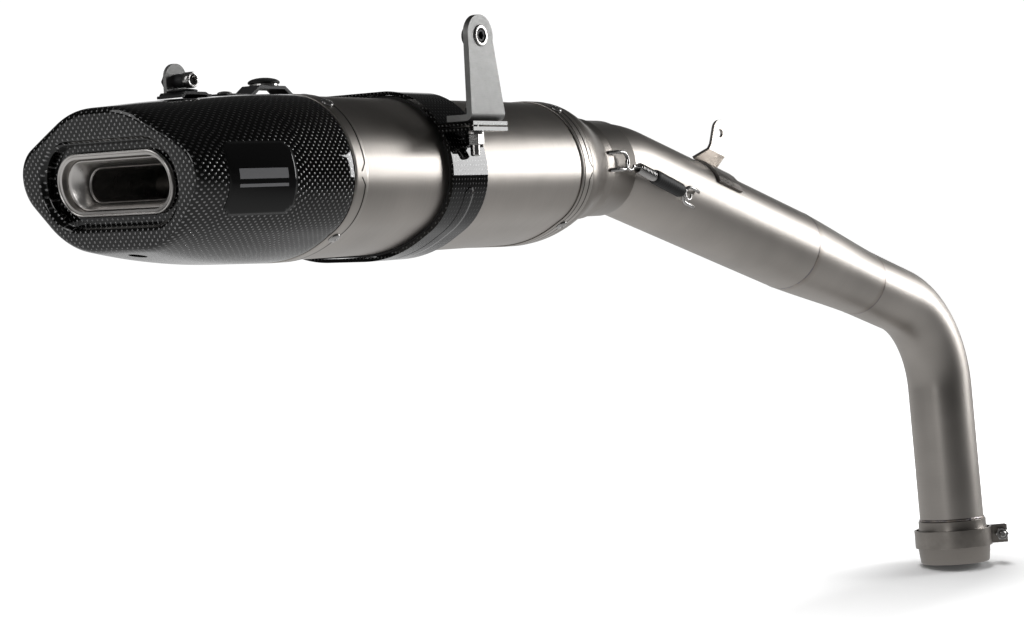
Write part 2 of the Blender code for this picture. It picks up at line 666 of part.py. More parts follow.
def make_rear_bracket():
    """The small bracket at the back of the cap: a low plate, a button and an upright tab with a bolt."""
    path = ((-61.5, 49.9), (-59.5, 49.9), (-58.0, 51.8), (-41.5, 51.8), (-39.0, 50.6), (-36.5, 50.6))
    strip("rear_bracket", path, 1.6, 20.0, BLACK_STEEL)
    dome("rear_button", Vector((-52.0, -2.0, 52.7)), 8.6, 1.9, RUBBER)
    tab_y = 9.0
    hole = Vector((-47.0, tab_y, 59.8))
    rings = []
    for half, z in ((8.5, 52.8), (8.5, 61.8)):
        rings.append((half, z))
    for k in range(1, 7):
        angle = math.radians(13.5 * k)
        rings.append((8.5 * math.cos(angle), 61.8 + 8.5 * math.sin(angle)))
    loops = []
    for half, z in rings:
        corners = ((-half, -1.25), (half, -1.25), (half, 1.25), (-half, 1.25))
        loops.append([SILENCER + Vector((hole.x + dx, tab_y + dy, z)) for dx, dy in corners])
    tab = skin("rear_tab", loops, ALLOY)
    drill(tab, SILENCER + hole, Y_AXIS, 3.4, 8.0)
    at = SILENCER + hole
    spacer = [(circle(4.2), 1.5), (circle(4.2), 9.5)]
    bore = [(circle(3.2), 1.5), (circle(3.2), 9.5)]
    tube("rear_spacer", spacer, bore, at, -Y_AXIS, BLACK_STEEL)
    steps = [(circle(2.0), -7.6), (circle(3.0), -7.0), (circle(3.0), 9.8), (circle(4.8), 9.8)]
    steps += [(circle(4.8), 14.4), (circle(4.2), 15.0)]
    turned("rear_bolt", steps, at, -Y_AXIS, STEEL)
    outer = [(circle(4.7), 1.5), (hexagon(10.0), 1.8), (hexagon(10.0), 5.8), (circle(4.7), 6.1)]
    inner = [(circle(3.2), 1.5), (circle(3.2), 3.0), (circle(3.2), 4.5), (circle(3.2), 6.1)]
    tube("rear_nut", outer, inner, at, Y_AXIS, STEEL)


# ---------------------------------------------------------------- link pipe

def pipe_bend(before, corner, after, radius, steps):
    """Points and directions along the arc that rounds a corner of the centre line."""
    to_before = (before - corner).normalized()
    to_after = (after - corner).normalized()
    half_angle = to_before.angle(to_after) / 2
    start = corner + to_before * (radius / math.tan(half_angle))
    centre = corner + (to_before + to_after).normalized() * (radius / math.sin(half_angle))
    turn = math.pi - 2 * half_angle
    axis = (-to_before).cross(to_after).normalized()
    line = []
    for k in range(steps + 1):
        spin = Matrix.Rotation(turn * k / steps, 3, axis)
        line.append((centre + spin @ (start - centre), spin @ -to_before))
    return line


def pipe(name, line, radii, finish, wall=PIPE_WALL, origin=LINK_MOUTH):
    """A hollow pipe along (point, direction) pairs."""
    side, rise = facing(line[0][1])
    direction = line[0][1]
    outside = []
    inside = []
    for (point, heading), radius in zip(line, radii):
        turn = direction.rotation_difference(heading)
        side, rise, direction = turn @ side, turn @ rise, heading
        for ring, r in ((outside, radius), (inside, radius - wall)):
            ring.append([point + side * p.x + rise * p.y for p in circle(r, PIPE_POINTS)])
    return shell(name, outside, inside, finish, origin=origin)


def link_direction():
    return (LINK_ELBOW - LINK_BEND).normalized()


def link_point(distance):
    """A point on the link pipe's straight stretch, measured from LINK_BEND."""
    return LINK_BEND + link_direction() * distance


def make_link_pipe():
    heading = link_direction()
    first = pipe_bend(LINK_START, LINK_BEND, LINK_ELBOW, LINK_BEND_RADIUS, 6)
    start = [(LINK_START, Vector((1.0, 0.0, 0.0)))]
    front = start + first + [(link_point(CONE_FROM - GAP / 2), heading)]
    pipe("link_pipe_front", front, [MAIN_RADIUS] * len(front), TITANIUM)
    cone = [(link_point(CONE_FROM + GAP / 2), heading), (link_point(CONE_TO - GAP / 2), heading)]
    pipe("link_pipe_cone", cone, (MAIN_RADIUS, DOWN_RADIUS), TITANIUM)
    second = pipe_bend(LINK_BEND, LINK_ELBOW, LINK_MOUTH, LINK_ELBOW_RADIUS, 12)
    lower_end = LINK_MOUTH + DOWN_PIPE * (COLLAR_LENGTH - 12.0)
    elbow = [(link_point(CONE_TO + GAP / 2), heading)] + second + [(lower_end, -DOWN_PIPE)]
    pipe("link_pipe_elbow", elbow, [DOWN_RADIUS] * len(elbow), TITANIUM)


def make_collar():
    """The inlet socket: it grips the down pipe at the top and takes the header below."""
    top, middle, mouth = COLLAR_RADII
    bore = DOWN_RADIUS + GAP
    outer = [(circle(mouth, 36), 0.0), (circle(middle, 36), 16.0), (circle(middle, 36), 22.0)]
    outer += [(circle(top, 36), COLLAR_LENGTH)]
    inner = [(circle(bore - 0.3, 36), 0.0), (circle(bore - 0.3, 36), 24.0), (circle(bore, 36), 24.2)]
    inner += [(circle(bore, 36), COLLAR_LENGTH)]
    tube("inlet_collar", outer, inner, LINK_MOUTH, DOWN_PIPE, DARK_TITANIUM)


def clamp_frame():
    """The clamp lug's directions: outwards, along the pipe and across both."""
    outward = (CLAMP_SIDE - DOWN_PIPE * CLAMP_SIDE.dot(DOWN_PIPE)).normalized()
    return outward, DOWN_PIPE, DOWN_PIPE.cross(outward)


def make_clamp():
    """An open band round the collar whose two ends turn outwards as lugs."""
    outward, up, across = clamp_frame()
    inside = COLLAR_RADII[1] + GAP
    outside = inside + CLAMP_SHEET
    split = 2.0
    points = []
    opening = math.asin(split / outside)
    for radius, order in ((inside, 1), (outside, -1)):
        arc = []
        for k in range(37):
            angle = opening + (math.tau - 2 * opening) * k / 36
            arc.append(Vector((math.cos(angle), math.sin(angle))) * radius)
        points.append(arc[::order])
    reach = outside + LUG_REACH
    lug = split + CLAMP_SHEET
    outline = points[0] + [Vector((reach, -split)), Vector((reach, -lug)), Vector((outside + 0.5, -lug))]
    outline += points[1][1:-1] + [Vector((outside + 0.5, lug)), Vector((reach, lug)), Vector((reach, split))]
    low, high = CLAMP_SPAN
    world = [outward * p.x + across * p.y for p in outline]
    clamp = prism("collar_clamp", world, up * low, up * (high - low), DARK_TITANIUM, origin=LINK_MOUTH)
    centre = up * ((low + high) / 2) + outward * (outside + LUG_REACH - 6.0)
    drill(clamp, centre, across, 3.3, 20.0)
    steps = [(circle(2.2), -11.6), (circle(3.0), -11.0), (circle(3.0), lug + 0.1), (circle(5.0), lug + 0.1)]
    steps += [(circle(5.0), lug + 4.4), (circle(4.4), lug + 5.0)]
    turned("clamp_bolt", steps, centre, across, STEEL)
    outer = [(circle(4.7), lug + 0.1), (hexagon(10.0), lug + 0.4), (hexagon(10.0), lug + 5.0)]
    outer += [(circle(4.7), lug + 5.3)]
    inner = [(circle(3.2), lug + 0.1), (circle(3.2), lug + 2.0), (circle(3.2), lug + 4.0)]
    inner += [(circle(3.2), lug + 5.3)]
    tube("clamp_nut", outer, inner, centre, -across, STEEL)


def make_pipe_tab():
    """The hanger tab on the link pipe: a saddle plate, a web leaning outwards and an upright plate."""
    heading = link_direction()
    side, rise = facing(heading)
    start = link_point(TAB_AT)
    inside = MAIN_RADIUS + 0.2
    rings = []
    for k in range(9):
        angle = math.radians(-62 + 9.5 * k)
        spoke = side * math.sin(angle) + rise * math.cos(angle)
        low, high = start + spoke * inside, start + spoke * (inside + 2.0)
        rings.append([low, high, high + heading * TAB_FOOT, low + heading * TAB_FOOT])
    skin("pipe_saddle", rings, TITANIUM, origin=LINK_MOUTH)
    base = start + rise * (inside + 2.4)
    lean = -side
    middle = TAB_FOOT / 2
    foot = Vector((0.0, 1.1))
    fold = Vector(TAB_FOLD)
    web = (fold - foot).normalized()
    web_normal = Vector((web.y, -web.x))
    plate_normal = Vector((1.0, 0.0))
    mitre = (web_normal + plate_normal) / (1 + web_normal.dot(plate_normal))
    stations = [(middle, foot, web_normal), (10.0, fold, mitre)]
    stations.append((TAB_RADIUS, fold + Vector((0.0, 4.6)), plate_normal))
    for k in range(7):
        angle = math.radians(13.5 * k)
        height = TAB_TOP + TAB_RADIUS * math.sin(angle)
        stations.append((TAB_RADIUS * math.cos(angle), Vector((fold.x, height)), plate_normal))
    loops = []
    for half, point, normal in stations:
        loop = []
        for along, face_sign in ((-half, 1), (half, 1), (half, -1), (-half, -1)):
            spot = point + normal * (face_sign * TAB_SHEET / 2)
            loop.append(base + heading * (middle + along) + lean * spot.x + rise * spot.y)
        loops.append(loop)
    tab = skin("pipe_tab", loops, TITANIUM, origin=LINK_MOUTH)
    hole = base + heading * middle + rise * (TAB_TOP - 2.1) + lean * fold.x
    drill(tab, hole, side, 3.3, 8.0)


def spring_ends(side):
    """The hooks' two ends: on the stub and on the link pipe, on one side (+1 left or -1 right)."""
    y, z = STUB_AXIS
    stand_off = SPRING_STAND_OFF[side]
    rear = SILENCER + Vector((306.0, y + side * (STUB_RADIUS + stand_off), z + 4.0))
    pipe_at = link_point(52.0)
    across, rise = facing(link_direction())
    front = pipe_at + across * side * (MAIN_RADIUS + stand_off) - rise * 8.0
    return rear, front


def make_spring(name, side):
    """One retaining spring and its rubber sleeve, drawn as plain bars of their outer size."""
    rear, front = spring_ends(side)
    axis = (front - rear).normalized()
    length = (front - rear).length
    wire = circle(SPRING_WIRE, 12)
    coil = circle(SPRING_RADIUS, 12)
    steps = [(wire, 4.2), (wire, 17.0), (coil, 19.0), (coil, length - 13.0), (wire, length - 11.0)]
    steps.append((wire, length - 4.2))
    turned(f"spring_{name}", steps, rear, axis, STEEL, origin=rear)
    outer = [(circle(SPRING_COVER_RADIUS, 12), 38.0), (circle(SPRING_COVER_RADIUS, 12), length - 15.0)]
    inner = [(circle(SPRING_RADIUS + GAP, 12), 38.0), (circle(SPRING_RADIUS + GAP, 12), length - 15.0)]
    tube(f"spring_sleeve_{name}", outer, inner, rear, axis, RUBBER, origin=rear)


def make_spring_lugs(name, side):
    """The two welded tongues that a spring hooks on."""
    rear, front = spring_ends(side)
    for where, end, centre_line in (("stub", rear, SILENCER + Vector((0.0, *STUB_AXIS))),
                                    ("pipe", front, None)):
        axis = (front - rear).normalized()
        if centre_line is not None:
            centre = Vector((end.x, centre_line.y, centre_line.z))
            radius = STUB_RADIUS
            along = Vector((1.0, 0.0, 0.0))
        else:
            along = link_direction()
            centre = LINK_BEND + along * (end - LINK_BEND).dot(along)
            radius = MAIN_RADIUS
        spoke = (end - centre).normalized()
        wide = along.cross(spoke).normalized()
        low = centre + spoke * (radius + 0.2)
        reach = spoke * 8.0
        corners = []
        for a, w in ((-5.0, -4.5), (2.0, -4.5), (2.0, 4.5), (-5.0, 4.5)):
            sign = 1.0 if where == "stub" else -1.0
            corners.append(low + along * (a * sign) + wide * w)
        top = [p + reach for p in corners]
        origin = SILENCER if where == "stub" else LINK_MOUTH
        skin(f"{where}_lug_{name}", [corners, top], STEEL, origin=origin)


# ---------------------------------------------------------------- all of it

def clear_scene():
    for piece in list(bpy.data.objects):
        bpy.data.objects.remove(piece)


def main():
    clear_scene()
    make_sleeve()
    make_band("rear_band", REAR_BAND)
    make_band("front_band", FRONT_BAND)
    make_end_cap()
    make_outlet()
    make_outlet_insert()
    make_insert_screw()
    make_core_tube()
    make_baffle("rear_baffle", 14.5)
    make_baffle("front_baffle", 237.0)
    make_packing()
    make_inlet_cap()
    make_stub()
    make_band_rivets()
    make_strap()
    make_hanger()
    make_hanger_hardware()
    make_strap_hardware()
    make_top_bracket()
    make_rear_bracket()
    make_link_pipe()
    make_collar()
    make_clamp()
    make_pipe_tab()
    for name, side in (("left", 1), ("right", -1)):
        make_spring(name, side)
        make_spring_lugs(name, side)


main()
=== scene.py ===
"""Looks of the racing exhaust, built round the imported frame.

The visible shells, pipes, springs and fasteners are rebuilt at fine resolution in the CAD's own places,
and every piece gets a procedural finish. Lengths are millimetres in the world frame or the silencer's
frame, and become metres in build().
"""

import json
import math

import bmesh
import bpy
from mathutils import Matrix, Vector


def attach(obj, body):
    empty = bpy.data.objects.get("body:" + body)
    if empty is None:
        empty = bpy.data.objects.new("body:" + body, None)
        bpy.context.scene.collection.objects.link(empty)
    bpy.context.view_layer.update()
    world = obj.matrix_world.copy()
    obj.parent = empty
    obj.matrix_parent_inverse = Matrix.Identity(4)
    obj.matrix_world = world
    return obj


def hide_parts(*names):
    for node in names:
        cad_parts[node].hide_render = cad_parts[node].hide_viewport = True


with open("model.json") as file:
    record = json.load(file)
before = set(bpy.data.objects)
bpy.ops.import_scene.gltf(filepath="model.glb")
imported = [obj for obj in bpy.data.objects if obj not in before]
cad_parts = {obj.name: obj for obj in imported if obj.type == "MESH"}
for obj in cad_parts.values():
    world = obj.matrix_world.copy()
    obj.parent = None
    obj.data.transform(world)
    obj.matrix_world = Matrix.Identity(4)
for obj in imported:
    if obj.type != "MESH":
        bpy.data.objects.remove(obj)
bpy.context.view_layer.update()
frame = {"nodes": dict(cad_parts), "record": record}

MM = 0.001
GAP = 0.3
RING_POINTS = 240  # points round the silencer's section
PIPE_POINTS = 96  # points round a pipe
BAR_POINTS = 64  # points round a bolt, ring or washer
ARC_STEPS = 24  # steps in a rounded corner
SHARP_ANGLE = math.radians(38)  # edges that turn by more stay sharp

# Silencer, in its own frame: x runs from the sleeve's rear edge towards the inlet, z = 0 at half height
SILENCER = Vector((-770.0, 120.0, 357.0))
SLEEVE_LENGTH = 253.0
SECTION = ((72.0, 50.0), (95.0, -17.0), (38.5, -50.0))  # shoulder, widest line, edge of the floor
SECTION_RADII = (49.0, 40.0, 88.0)
SLEEVE_SHEET = 1.0
BAND_SHEET = 0.7
REAR_BAND = (0.3, 12.0)
FRONT_BAND = (241.0, 254.0)

# Carbon end cap and outlet
CAP_LENGTH = 114.0
CAP_WALL = 2.5
CAP_SPIGOT = 13.0
FACE = ((20.8, 42.6), (83.7, 9.3), (39.8, -38.0))
FACE_RADII = (61.0, 21.5, 46.5)
RAKE = -0.15
STEP_SIZE = (54.0, 24.5)
STEP_DEPTH = 8.5
LIP_DEPTH = 6.0  # how far the outlet's lip lies inside the rear face
OUTLET = (44.3, 16.3)
LIP = 2.2
OUTLET_WALL = 1.5
INSERT_MOUTH = (34.5, 10.2)
INSERT_LENGTH = 56.5
SCREW_X = -93.0  # the screw that holds the insert
CORE_RADIUS = 27.0
DECAL_SPAN = (48.0, 94.0)  # along the cap, from the band
DECAL_HEIGHT = (-21.0, 20.0)
DECAL_FILM = 0.12

# Inlet side
STUB_AXIS = (-38.0, 3.0)
STUB_RADIUS = 34.8
STUB_WALL = 1.4
STUB_END = 332.0
NECK_START = 292.0
NECK_END = 300.0
NECK_SHEET = 1.4

# Strap clamp and hanger
STRAP = (90.0, 126.0)
STRAP_SHEET = 2.5
LINER_SHEET = 1.3
EAR_TIP = -107.0
EAR_GAP = (27.6, 28.6)
HANGER_Y = -102.0
HANGER_SHEET = 4.0
HANGER_HOLE = (105.5, 84.0)
HANGER_TOP_RADIUS = 13.0
HANGER_FOOT_END = -84.5
STRAP_BOLT = (109.0, -93.5)
BOLT_RADIUS = 3.0

# Rubber buffers on the cap's brackets, each with its foot, radius and height, and the rear tab's hole
BUTTONS = {"top_button": ((20.0, 0.0, 59.3), 9.9, 3.9), "rear_button": ((-52.0, -2.0, 52.7), 8.6, 1.9)}
REAR_HOLE = Vector((-47.0, 9.0, 59.8))

# Link pipe: its centre line's corners in the world frame
LINK_START = Vector((-458.0, 82.0, 360.0))
LINK_BEND = Vector((-420.0, 82.0, 360.0))
LINK_ELBOW = Vector((10.6, 18.4, 219.0))
LINK_MOUTH = Vector((0.0, 0.0, 0.0))
LINK_BEND_RADIUS = 80.0
LINK_ELBOW_RADIUS = 84.0
MAIN_RADIUS = 33.0
DOWN_RADIUS = 28.0
PIPE_WALL = 1.4
CONE_FROM = 228.0
CONE_TO = 334.0

# Inlet collar and its clamp
COLLAR_LENGTH = 38.0
COLLAR_RADII = (29.6, 32.0, 30.0)
CLAMP_SPAN = (14.0, 30.0)
CLAMP_SHEET = 1.6
CLAMP_SIDE = Vector((0.58, -0.81, 0.0)).normalized()
LUG_REACH = 14.0
CLAMP_SPLIT = 2.0  # half the gap between the lugs
LUG_HOLE = 6.0  # the bolt hole, in from the lugs' tips

# Springs
SPRING_RADIUS = 4.2
SPRING_COVER_RADIUS = 5.4
SPRING_WIRE = 0.9
SPRING_STAND_OFF = {1: 9.5, -1: 6.0}

# Carbon cloth
TOW = 2.1  # width of one yarn
FIBRES = 11.0  # streaks of fibre across one yarn
HALF_TURNED = 0.7071  # scale of cloth laid at 45 degrees

# Camera and light, in metres
CAMERA_AT = Vector((-1.6639, -0.7141, 0.3331))
CAMERA_RIGHT = Vector((0.57964, -0.81368, -0.04413))
CAMERA_UP = Vector((0.0706, -0.0038, 0.9975))
CAMERA_LENS = 69.9
FLOOR_HEIGHT = -0.0032
FLOOR_SEEN = (0.04, 1.0)  # the paper's own glow as it is seen: low near the collar, where it paints a faint pool of shade round the foot beside the real shadow, and full away from it
FLOOR_GLOW = (0.08, 0.58)  # and as the metal reflects it: to the right of the object, and to its left
ROOM_GLOW = 0.05

X_AXIS = Vector((1.0, 0.0, 0.0))
Y_AXIS = Vector((0.0, 1.0, 0.0))
Z_AXIS = Vector((0.0, 0.0, 1.0))
DOWN_PIPE = (LINK_ELBOW - LINK_MOUTH).normalized()

RECORD = frame["record"]
BODY_OF = {node: body for body, nodes in RECORD["behaviour"]["bodies"].items() for node in nodes}
SLOT_OF = {part["node"]: part["material_slot"] for part in RECORD["subparts"]}


# ---------------------------------------------------------------- outlines

def mirrored(half):
    """A full list, clockwise from the top, out of the values of its +y half."""
    return list(half) + list(reversed(half))


def mirrored_corners(half):
    return [Vector(c) for c in half] + [Vector((-y, z)) for y, z in reversed(half)]


def grown(corners, grow):
    """The corners of the same outline with every side moved outwards by grow."""
    moved = []
    for i, corner in enumerate(corners):
        before = (corner - corners[i - 1]).normalized()
        after = (corners[(i + 1) % len(corners)] - corner).normalized()
        side_before = Vector((-before.y, before.x))
        side_after = Vector((-after.y, after.x))
        moved.append(corner + (side_before + side_after) * (grow / (1 + side_before.dot(side_after))))
    return moved


def tangent_arc(before, corner, after, radius):
    """The arc that rounds a corner: its centre, the spoke to its start and how far it turns."""
    to_before = (before - corner).normalized()
    to_after = (after - corner).normalized()
    half_angle = to_before.angle(to_after) / 2
    start = corner + to_before * (radius / math.tan(half_angle))
    centre = corner + (to_before + to_after).normalized() * (radius / math.sin(half_angle))
    return centre, start - centre, math.pi - 2 * half_angle


def corner_arc(before, corner, after, radius):
    """Points of the arc that rounds one corner of an outline, clockwise."""
    centre, spoke, turn = tangent_arc(before, corner, after, radius)
    angles = [-turn * k / ARC_STEPS for k in range(ARC_STEPS + 1)]
    return [centre + Matrix.Rotation(angle, 2) @ spoke for angle in angles]


def evenly(points, count):
    """count points at equal steps along a closed line, from its first point on."""
    line = points + [points[0]]
    lengths = [(b - a).length for a, b in zip(line, line[1:])]
    total = sum(lengths)
    spaced = []
    done = 0.0
    k = 0
    for i in range(count):
        target = total * i / count
        while done + lengths[k] < target:
            done += lengths[k]
            k += 1
        spaced.append(line[k].lerp(line[k + 1], (target - done) / lengths[k]))
    return spaced


def rounded(corners, radii, count=RING_POINTS):
    """A rounded outline of count points, clockwise from the middle of its top side."""
    points = [(corners[-1] + corners[0]) / 2]
    for i, corner in enumerate(corners):
        after = corners[(i + 1) % len(corners)]
        points += corner_arc(corners[i - 1], corner, after, radii[i])
    return evenly(points, count)


def section(grow=0.0):
    """The silencer's six-sided outline, grown outwards."""
    radii = [r + grow for r in mirrored(SECTION_RADII)]
    return rounded(grown(mirrored_corners(SECTION), grow), radii)


def face(grow=0.0):
    """The outline of the cap's rear face, grown outwards."""
    radii = [max(r + grow, 2.0) for r in mirrored(FACE_RADII)]
    return rounded(grown(mirrored_corners(FACE), grow), radii)


def stadium(half_width, half_height, count=RING_POINTS):
    """A slot with round ends."""
    corners = mirrored_corners(((half_width, half_height), (half_width, -half_height)))
    return rounded(corners, [half_height * 0.98] * 4, count)


def circle(radius, count=BAR_POINTS, centre=(0.0, 0.0)):
    """A circle, clockwise from its top."""
    steps = [math.tau * i / count for i in range(count)]
    return [Vector((centre[0] + radius * math.sin(a), centre[1] + radius * math.cos(a))) for a in steps]


def rounds(steps, count=BAR_POINTS):
    """The (outline, distance) steps of a turned piece out of its (radius, distance) steps."""
    return [(circle(radius, count), along) for radius, along in steps]


def hexagon(across_flats):
    """A hexagon drawn with as many points as a bar's circle."""
    points = []
    for i in range(BAR_POINTS):
        angle = math.tau * i / BAR_POINTS
        fold = (angle + math.pi / 6) % (math.pi / 3) - math.pi / 6
        points.append(Vector((math.sin(angle), math.cos(angle))) * (across_flats / 2 / math.cos(fold)))
    return points


def blend(a, b, t):
    return [p.lerp(q, t) for p, q in zip(a, b)]


def station(x, outline, rake=0.0):
    """An outline as a ring across the silencer at x, leaning by rake."""
    return [SILENCER + Vector((x + rake * p.y, p.x, p.y)) for p in outline]


def facing(axis):
    """Two directions across an axis: sideways and upwards."""
    up = Z_AXIS if abs(axis.z) < 0.9 else Y_AXIS
    side = up.cross(axis)
    side.normalize()
    return side, axis.cross(side)


def ring_on(axis, centre, outline):
    """An outline as a ring across an axis at a point."""
    side, rise = facing(axis)
    return [centre + side * p.x + rise * p.y for p in outline]


def pipe_bend(before, corner, after, radius, steps):
    """Points and directions along the arc that rounds a corner of the centre line."""
    centre, spoke, turn = tangent_arc(before, corner, after, radius)
    heading = (corner - before).normalized()
    axis = heading.cross((after - corner).normalized()).normalized()
    line = []
    for k in range(steps + 1):
        spin = Matrix.Rotation(turn * k / steps, 3, axis)
        line.append((centre + spin @ spoke, spin @ heading))
    return line


def link_direction():
    return (LINK_ELBOW - LINK_BEND).normalized()


def link_point(distance):
    """A point on the link pipe's straight stretch, measured from LINK_BEND."""
    return LINK_BEND + link_direction() * distance


def clamp_frame():
    """The clamp lug's directions: outwards, along the pipe and across both."""
    outward = (CLAMP_SIDE - DOWN_PIPE * CLAMP_SIDE.dot(DOWN_PIPE)).normalized()
    return outward, DOWN_PIPE, DOWN_PIPE.cross(outward)


def clamp_hole():
    """The middle of the bolt hole through the clamp's lugs."""
    outward, up, _ = clamp_frame()
    outside = COLLAR_RADII[1] + GAP + CLAMP_SHEET
    return up * (sum(CLAMP_SPAN) / 2) + outward * (outside + LUG_REACH - LUG_HOLE)


def spring_ends(side):
    """The hooks' two ends: on the stub and on the link pipe, on one side (+1 left or -1 right)."""
    y, z = STUB_AXIS
    stand_off = SPRING_STAND_OFF[side]
    rear = SILENCER + Vector((306.0, y + side * (STUB_RADIUS + stand_off), z + 4.0))
    pipe_at = link_point(52.0)
    across, rise = facing(link_direction())
    front = pipe_at + across * side * (MAIN_RADIUS + stand_off) - rise * 8.0
    return rear, front


def surface_point(x, side, height):
    """A point and its outward direction on the band's surface, at a height on one side (+1 or -1)."""
    outline = section(BAND_SHEET - 0.4)
    half = [(p, q) for p, q in zip(outline, outline[1:]) if p.x * side > 0 and q.x * side > 0]
    p, q = min(half, key=lambda pair: abs((pair[0].y + pair[1].y) / 2 - height))
    along = (q - p).normalized()
    middle = (p + q) / 2
    return SILENCER + Vector((x, middle.x, middle.y)), Vector((0.0, -along.y, along.x))


# ---------------------------------------------------------------- finishes

class Nodes:
    """Shader nodes added to a tree, by short names for the usual ones."""

    def __init__(self, tree):
        self.tree = tree

    def add(self, kind, inputs=None, **settings):
        node = self.tree.nodes.new("ShaderNode" + kind)
        for key, value in settings.items():
            setattr(node, key, value)
        for key, value in (inputs or {}).items():
            if isinstance(value, bpy.types.NodeSocket):
                self.tree.links.new(value, node.inputs[key])
            else:
                node.inputs[key].default_value = value
        return node

    def math(self, operation, *values):
        return self.add("Math", dict(enumerate(values)), operation=operation).outputs[0]

    def plus(self, first, second):
        return self.math("ADD", first, second)

    def minus(self, first, second):
        return self.math("SUBTRACT", first, second)

    def times(self, first, second):
        return self.math("MULTIPLY", first, second)

    def apart(self, first, second):
        """How far one value is from another, either way."""
        return self.math("ABSOLUTE", self.minus(first, second))

    def span(self, value, low, high, start=0.0, end=1.0, curve="LINEAR"):
        """The value's range low to high, mapped to start to end and clamped."""
        inputs = {"Value": value, "From Min": low, "From Max": high, "To Min": start, "To Max": end}
        return self.add("MapRange", inputs, interpolation_type=curve).outputs[0]


class Finish(Nodes):
    """A node material round one Principled BSDF."""

    def __init__(self, name, constants):
        self.material = bpy.data.materials.new(name)
        self.material.use_nodes = True
        super().__init__(self.material.node_tree)
        self.shader = self.tree.nodes["Principled BSDF"]
        for socket, value in constants.items():
            self.shader.inputs[socket].default_value = value

    def noise(self, vector, scale, detail=4.0):
        inputs = {"Vector": vector, "Scale": scale, "Detail": detail, "Roughness": 0.6}
        return self.add("TexNoise", inputs).outputs[0]

    def stretched(self, vector, scale):
        return self.add("Mapping", {"Vector": vector, "Scale": scale}).outputs[0]

    def mix(self, factor, first, second):
        inputs = {0: factor, 6: first, 7: second}
        return self.add("Mix", inputs, data_type="RGBA").outputs[2]

    def bump(self, height, distance):
        return self.add("Bump", {"Height": height, "Distance": distance, "Strength": 1.0}).outputs[0]

    def drive(self, socket, value):
        self.tree.links.new(value, self.shader.inputs[socket])

    def sheet(self):
        return self.add("UVMap", uv_map="sheet").outputs[0]

    def cloth_place(self):
        """Where a point is on the sheet: along the outline and along the piece, in millimetres."""
        place = self.add("SeparateXYZ", {0: self.sheet()})
        return place.outputs[0], place.outputs[1]

    def object_place(self):
        return self.add("TexCoord").outputs["Object"]


def rgb(red, green, blue):
    return (red, green, blue, 1.0)


def grey(value):
    return rgb(value, value, value)


def shaded(colour, factor):
    """A colour made lighter or darker."""
    return rgb(*(min(c * factor, 1.0) for c in colour))


def sheet_metal(name, colour, roughness, lines=(), seams=(), grain=1.0):
    """Brushed titanium sheet. lines are engraved at a distance along the sheet; seams are heat-tinted."""
    finish = Finish(name, {"Metallic": 1.0})
    u, v = finish.cloth_place()
    place = finish.sheet()
    brushed = finish.noise(finish.stretched(place, (0.035, 2.6, 1.0)), 1.0, 6.0)
    speckle = finish.noise(finish.stretched(place, (0.9, 1.6, 1.0)), 1.0, 3.0)
    cloud = finish.noise(finish.object_place(), 9.0, 3.0)
    shade = finish.mix(finish.span(cloud, 0.35, 0.65), shaded(colour, 0.86), shaded(colour, 1.10))
    streak = finish.span(brushed, 0.3, 0.7, 0.0, 0.22 * grain)
    shade = finish.mix(streak, shade, shaded(colour, 0.62))
    rough = finish.span(brushed, 0.3, 0.7, roughness - 0.05, roughness + 0.06)
    rough = finish.plus(rough, finish.span(cloud, 0.3, 0.7, -0.02, 0.03))
    height = finish.plus(finish.times(brushed, 0.7), finish.times(speckle, 0.4))
    for at in seams:
        near = finish.apart(v, at)
        shade = finish.mix(finish.span(near, 1.0, 7.0, 0.40, 0.0), shade, rgb(0.28, 0.23, 0.19))
    for at, chevron in lines:
        groove = engraved(finish, u, v, at, chevron)
        # The groove's near-black colour is painted shade in the engraved line; the bump below cuts the groove
        # itself.
        shade = finish.mix(groove, shade, rgb(0.05, 0.045, 0.04))
        height = finish.minus(height, finish.times(groove, 9.0))
    finish.drive("Base Color", shade)
    finish.drive("Roughness", rough)
    finish.drive("Normal", finish.bump(height, 0.00003 * grain))
    return finish.material


def engraved(finish, u, v, at, chevron):
    """1 in an engraved line round the band: with a chevron it steps aside and breaks at the side's edge."""
    away = finish.math("ABSOLUTE", u)
    line = at
    if chevron:
        line = finish.span(away, 2.0, 6.5, at - chevron, at)
    off = finish.apart(v, line)
    groove = finish.span(off, 0.38, 0.75, 1.0, 0.0)
    if chevron:
        groove = finish.times(groove, finish.span(away, 1.6, 2.2))
    return groove


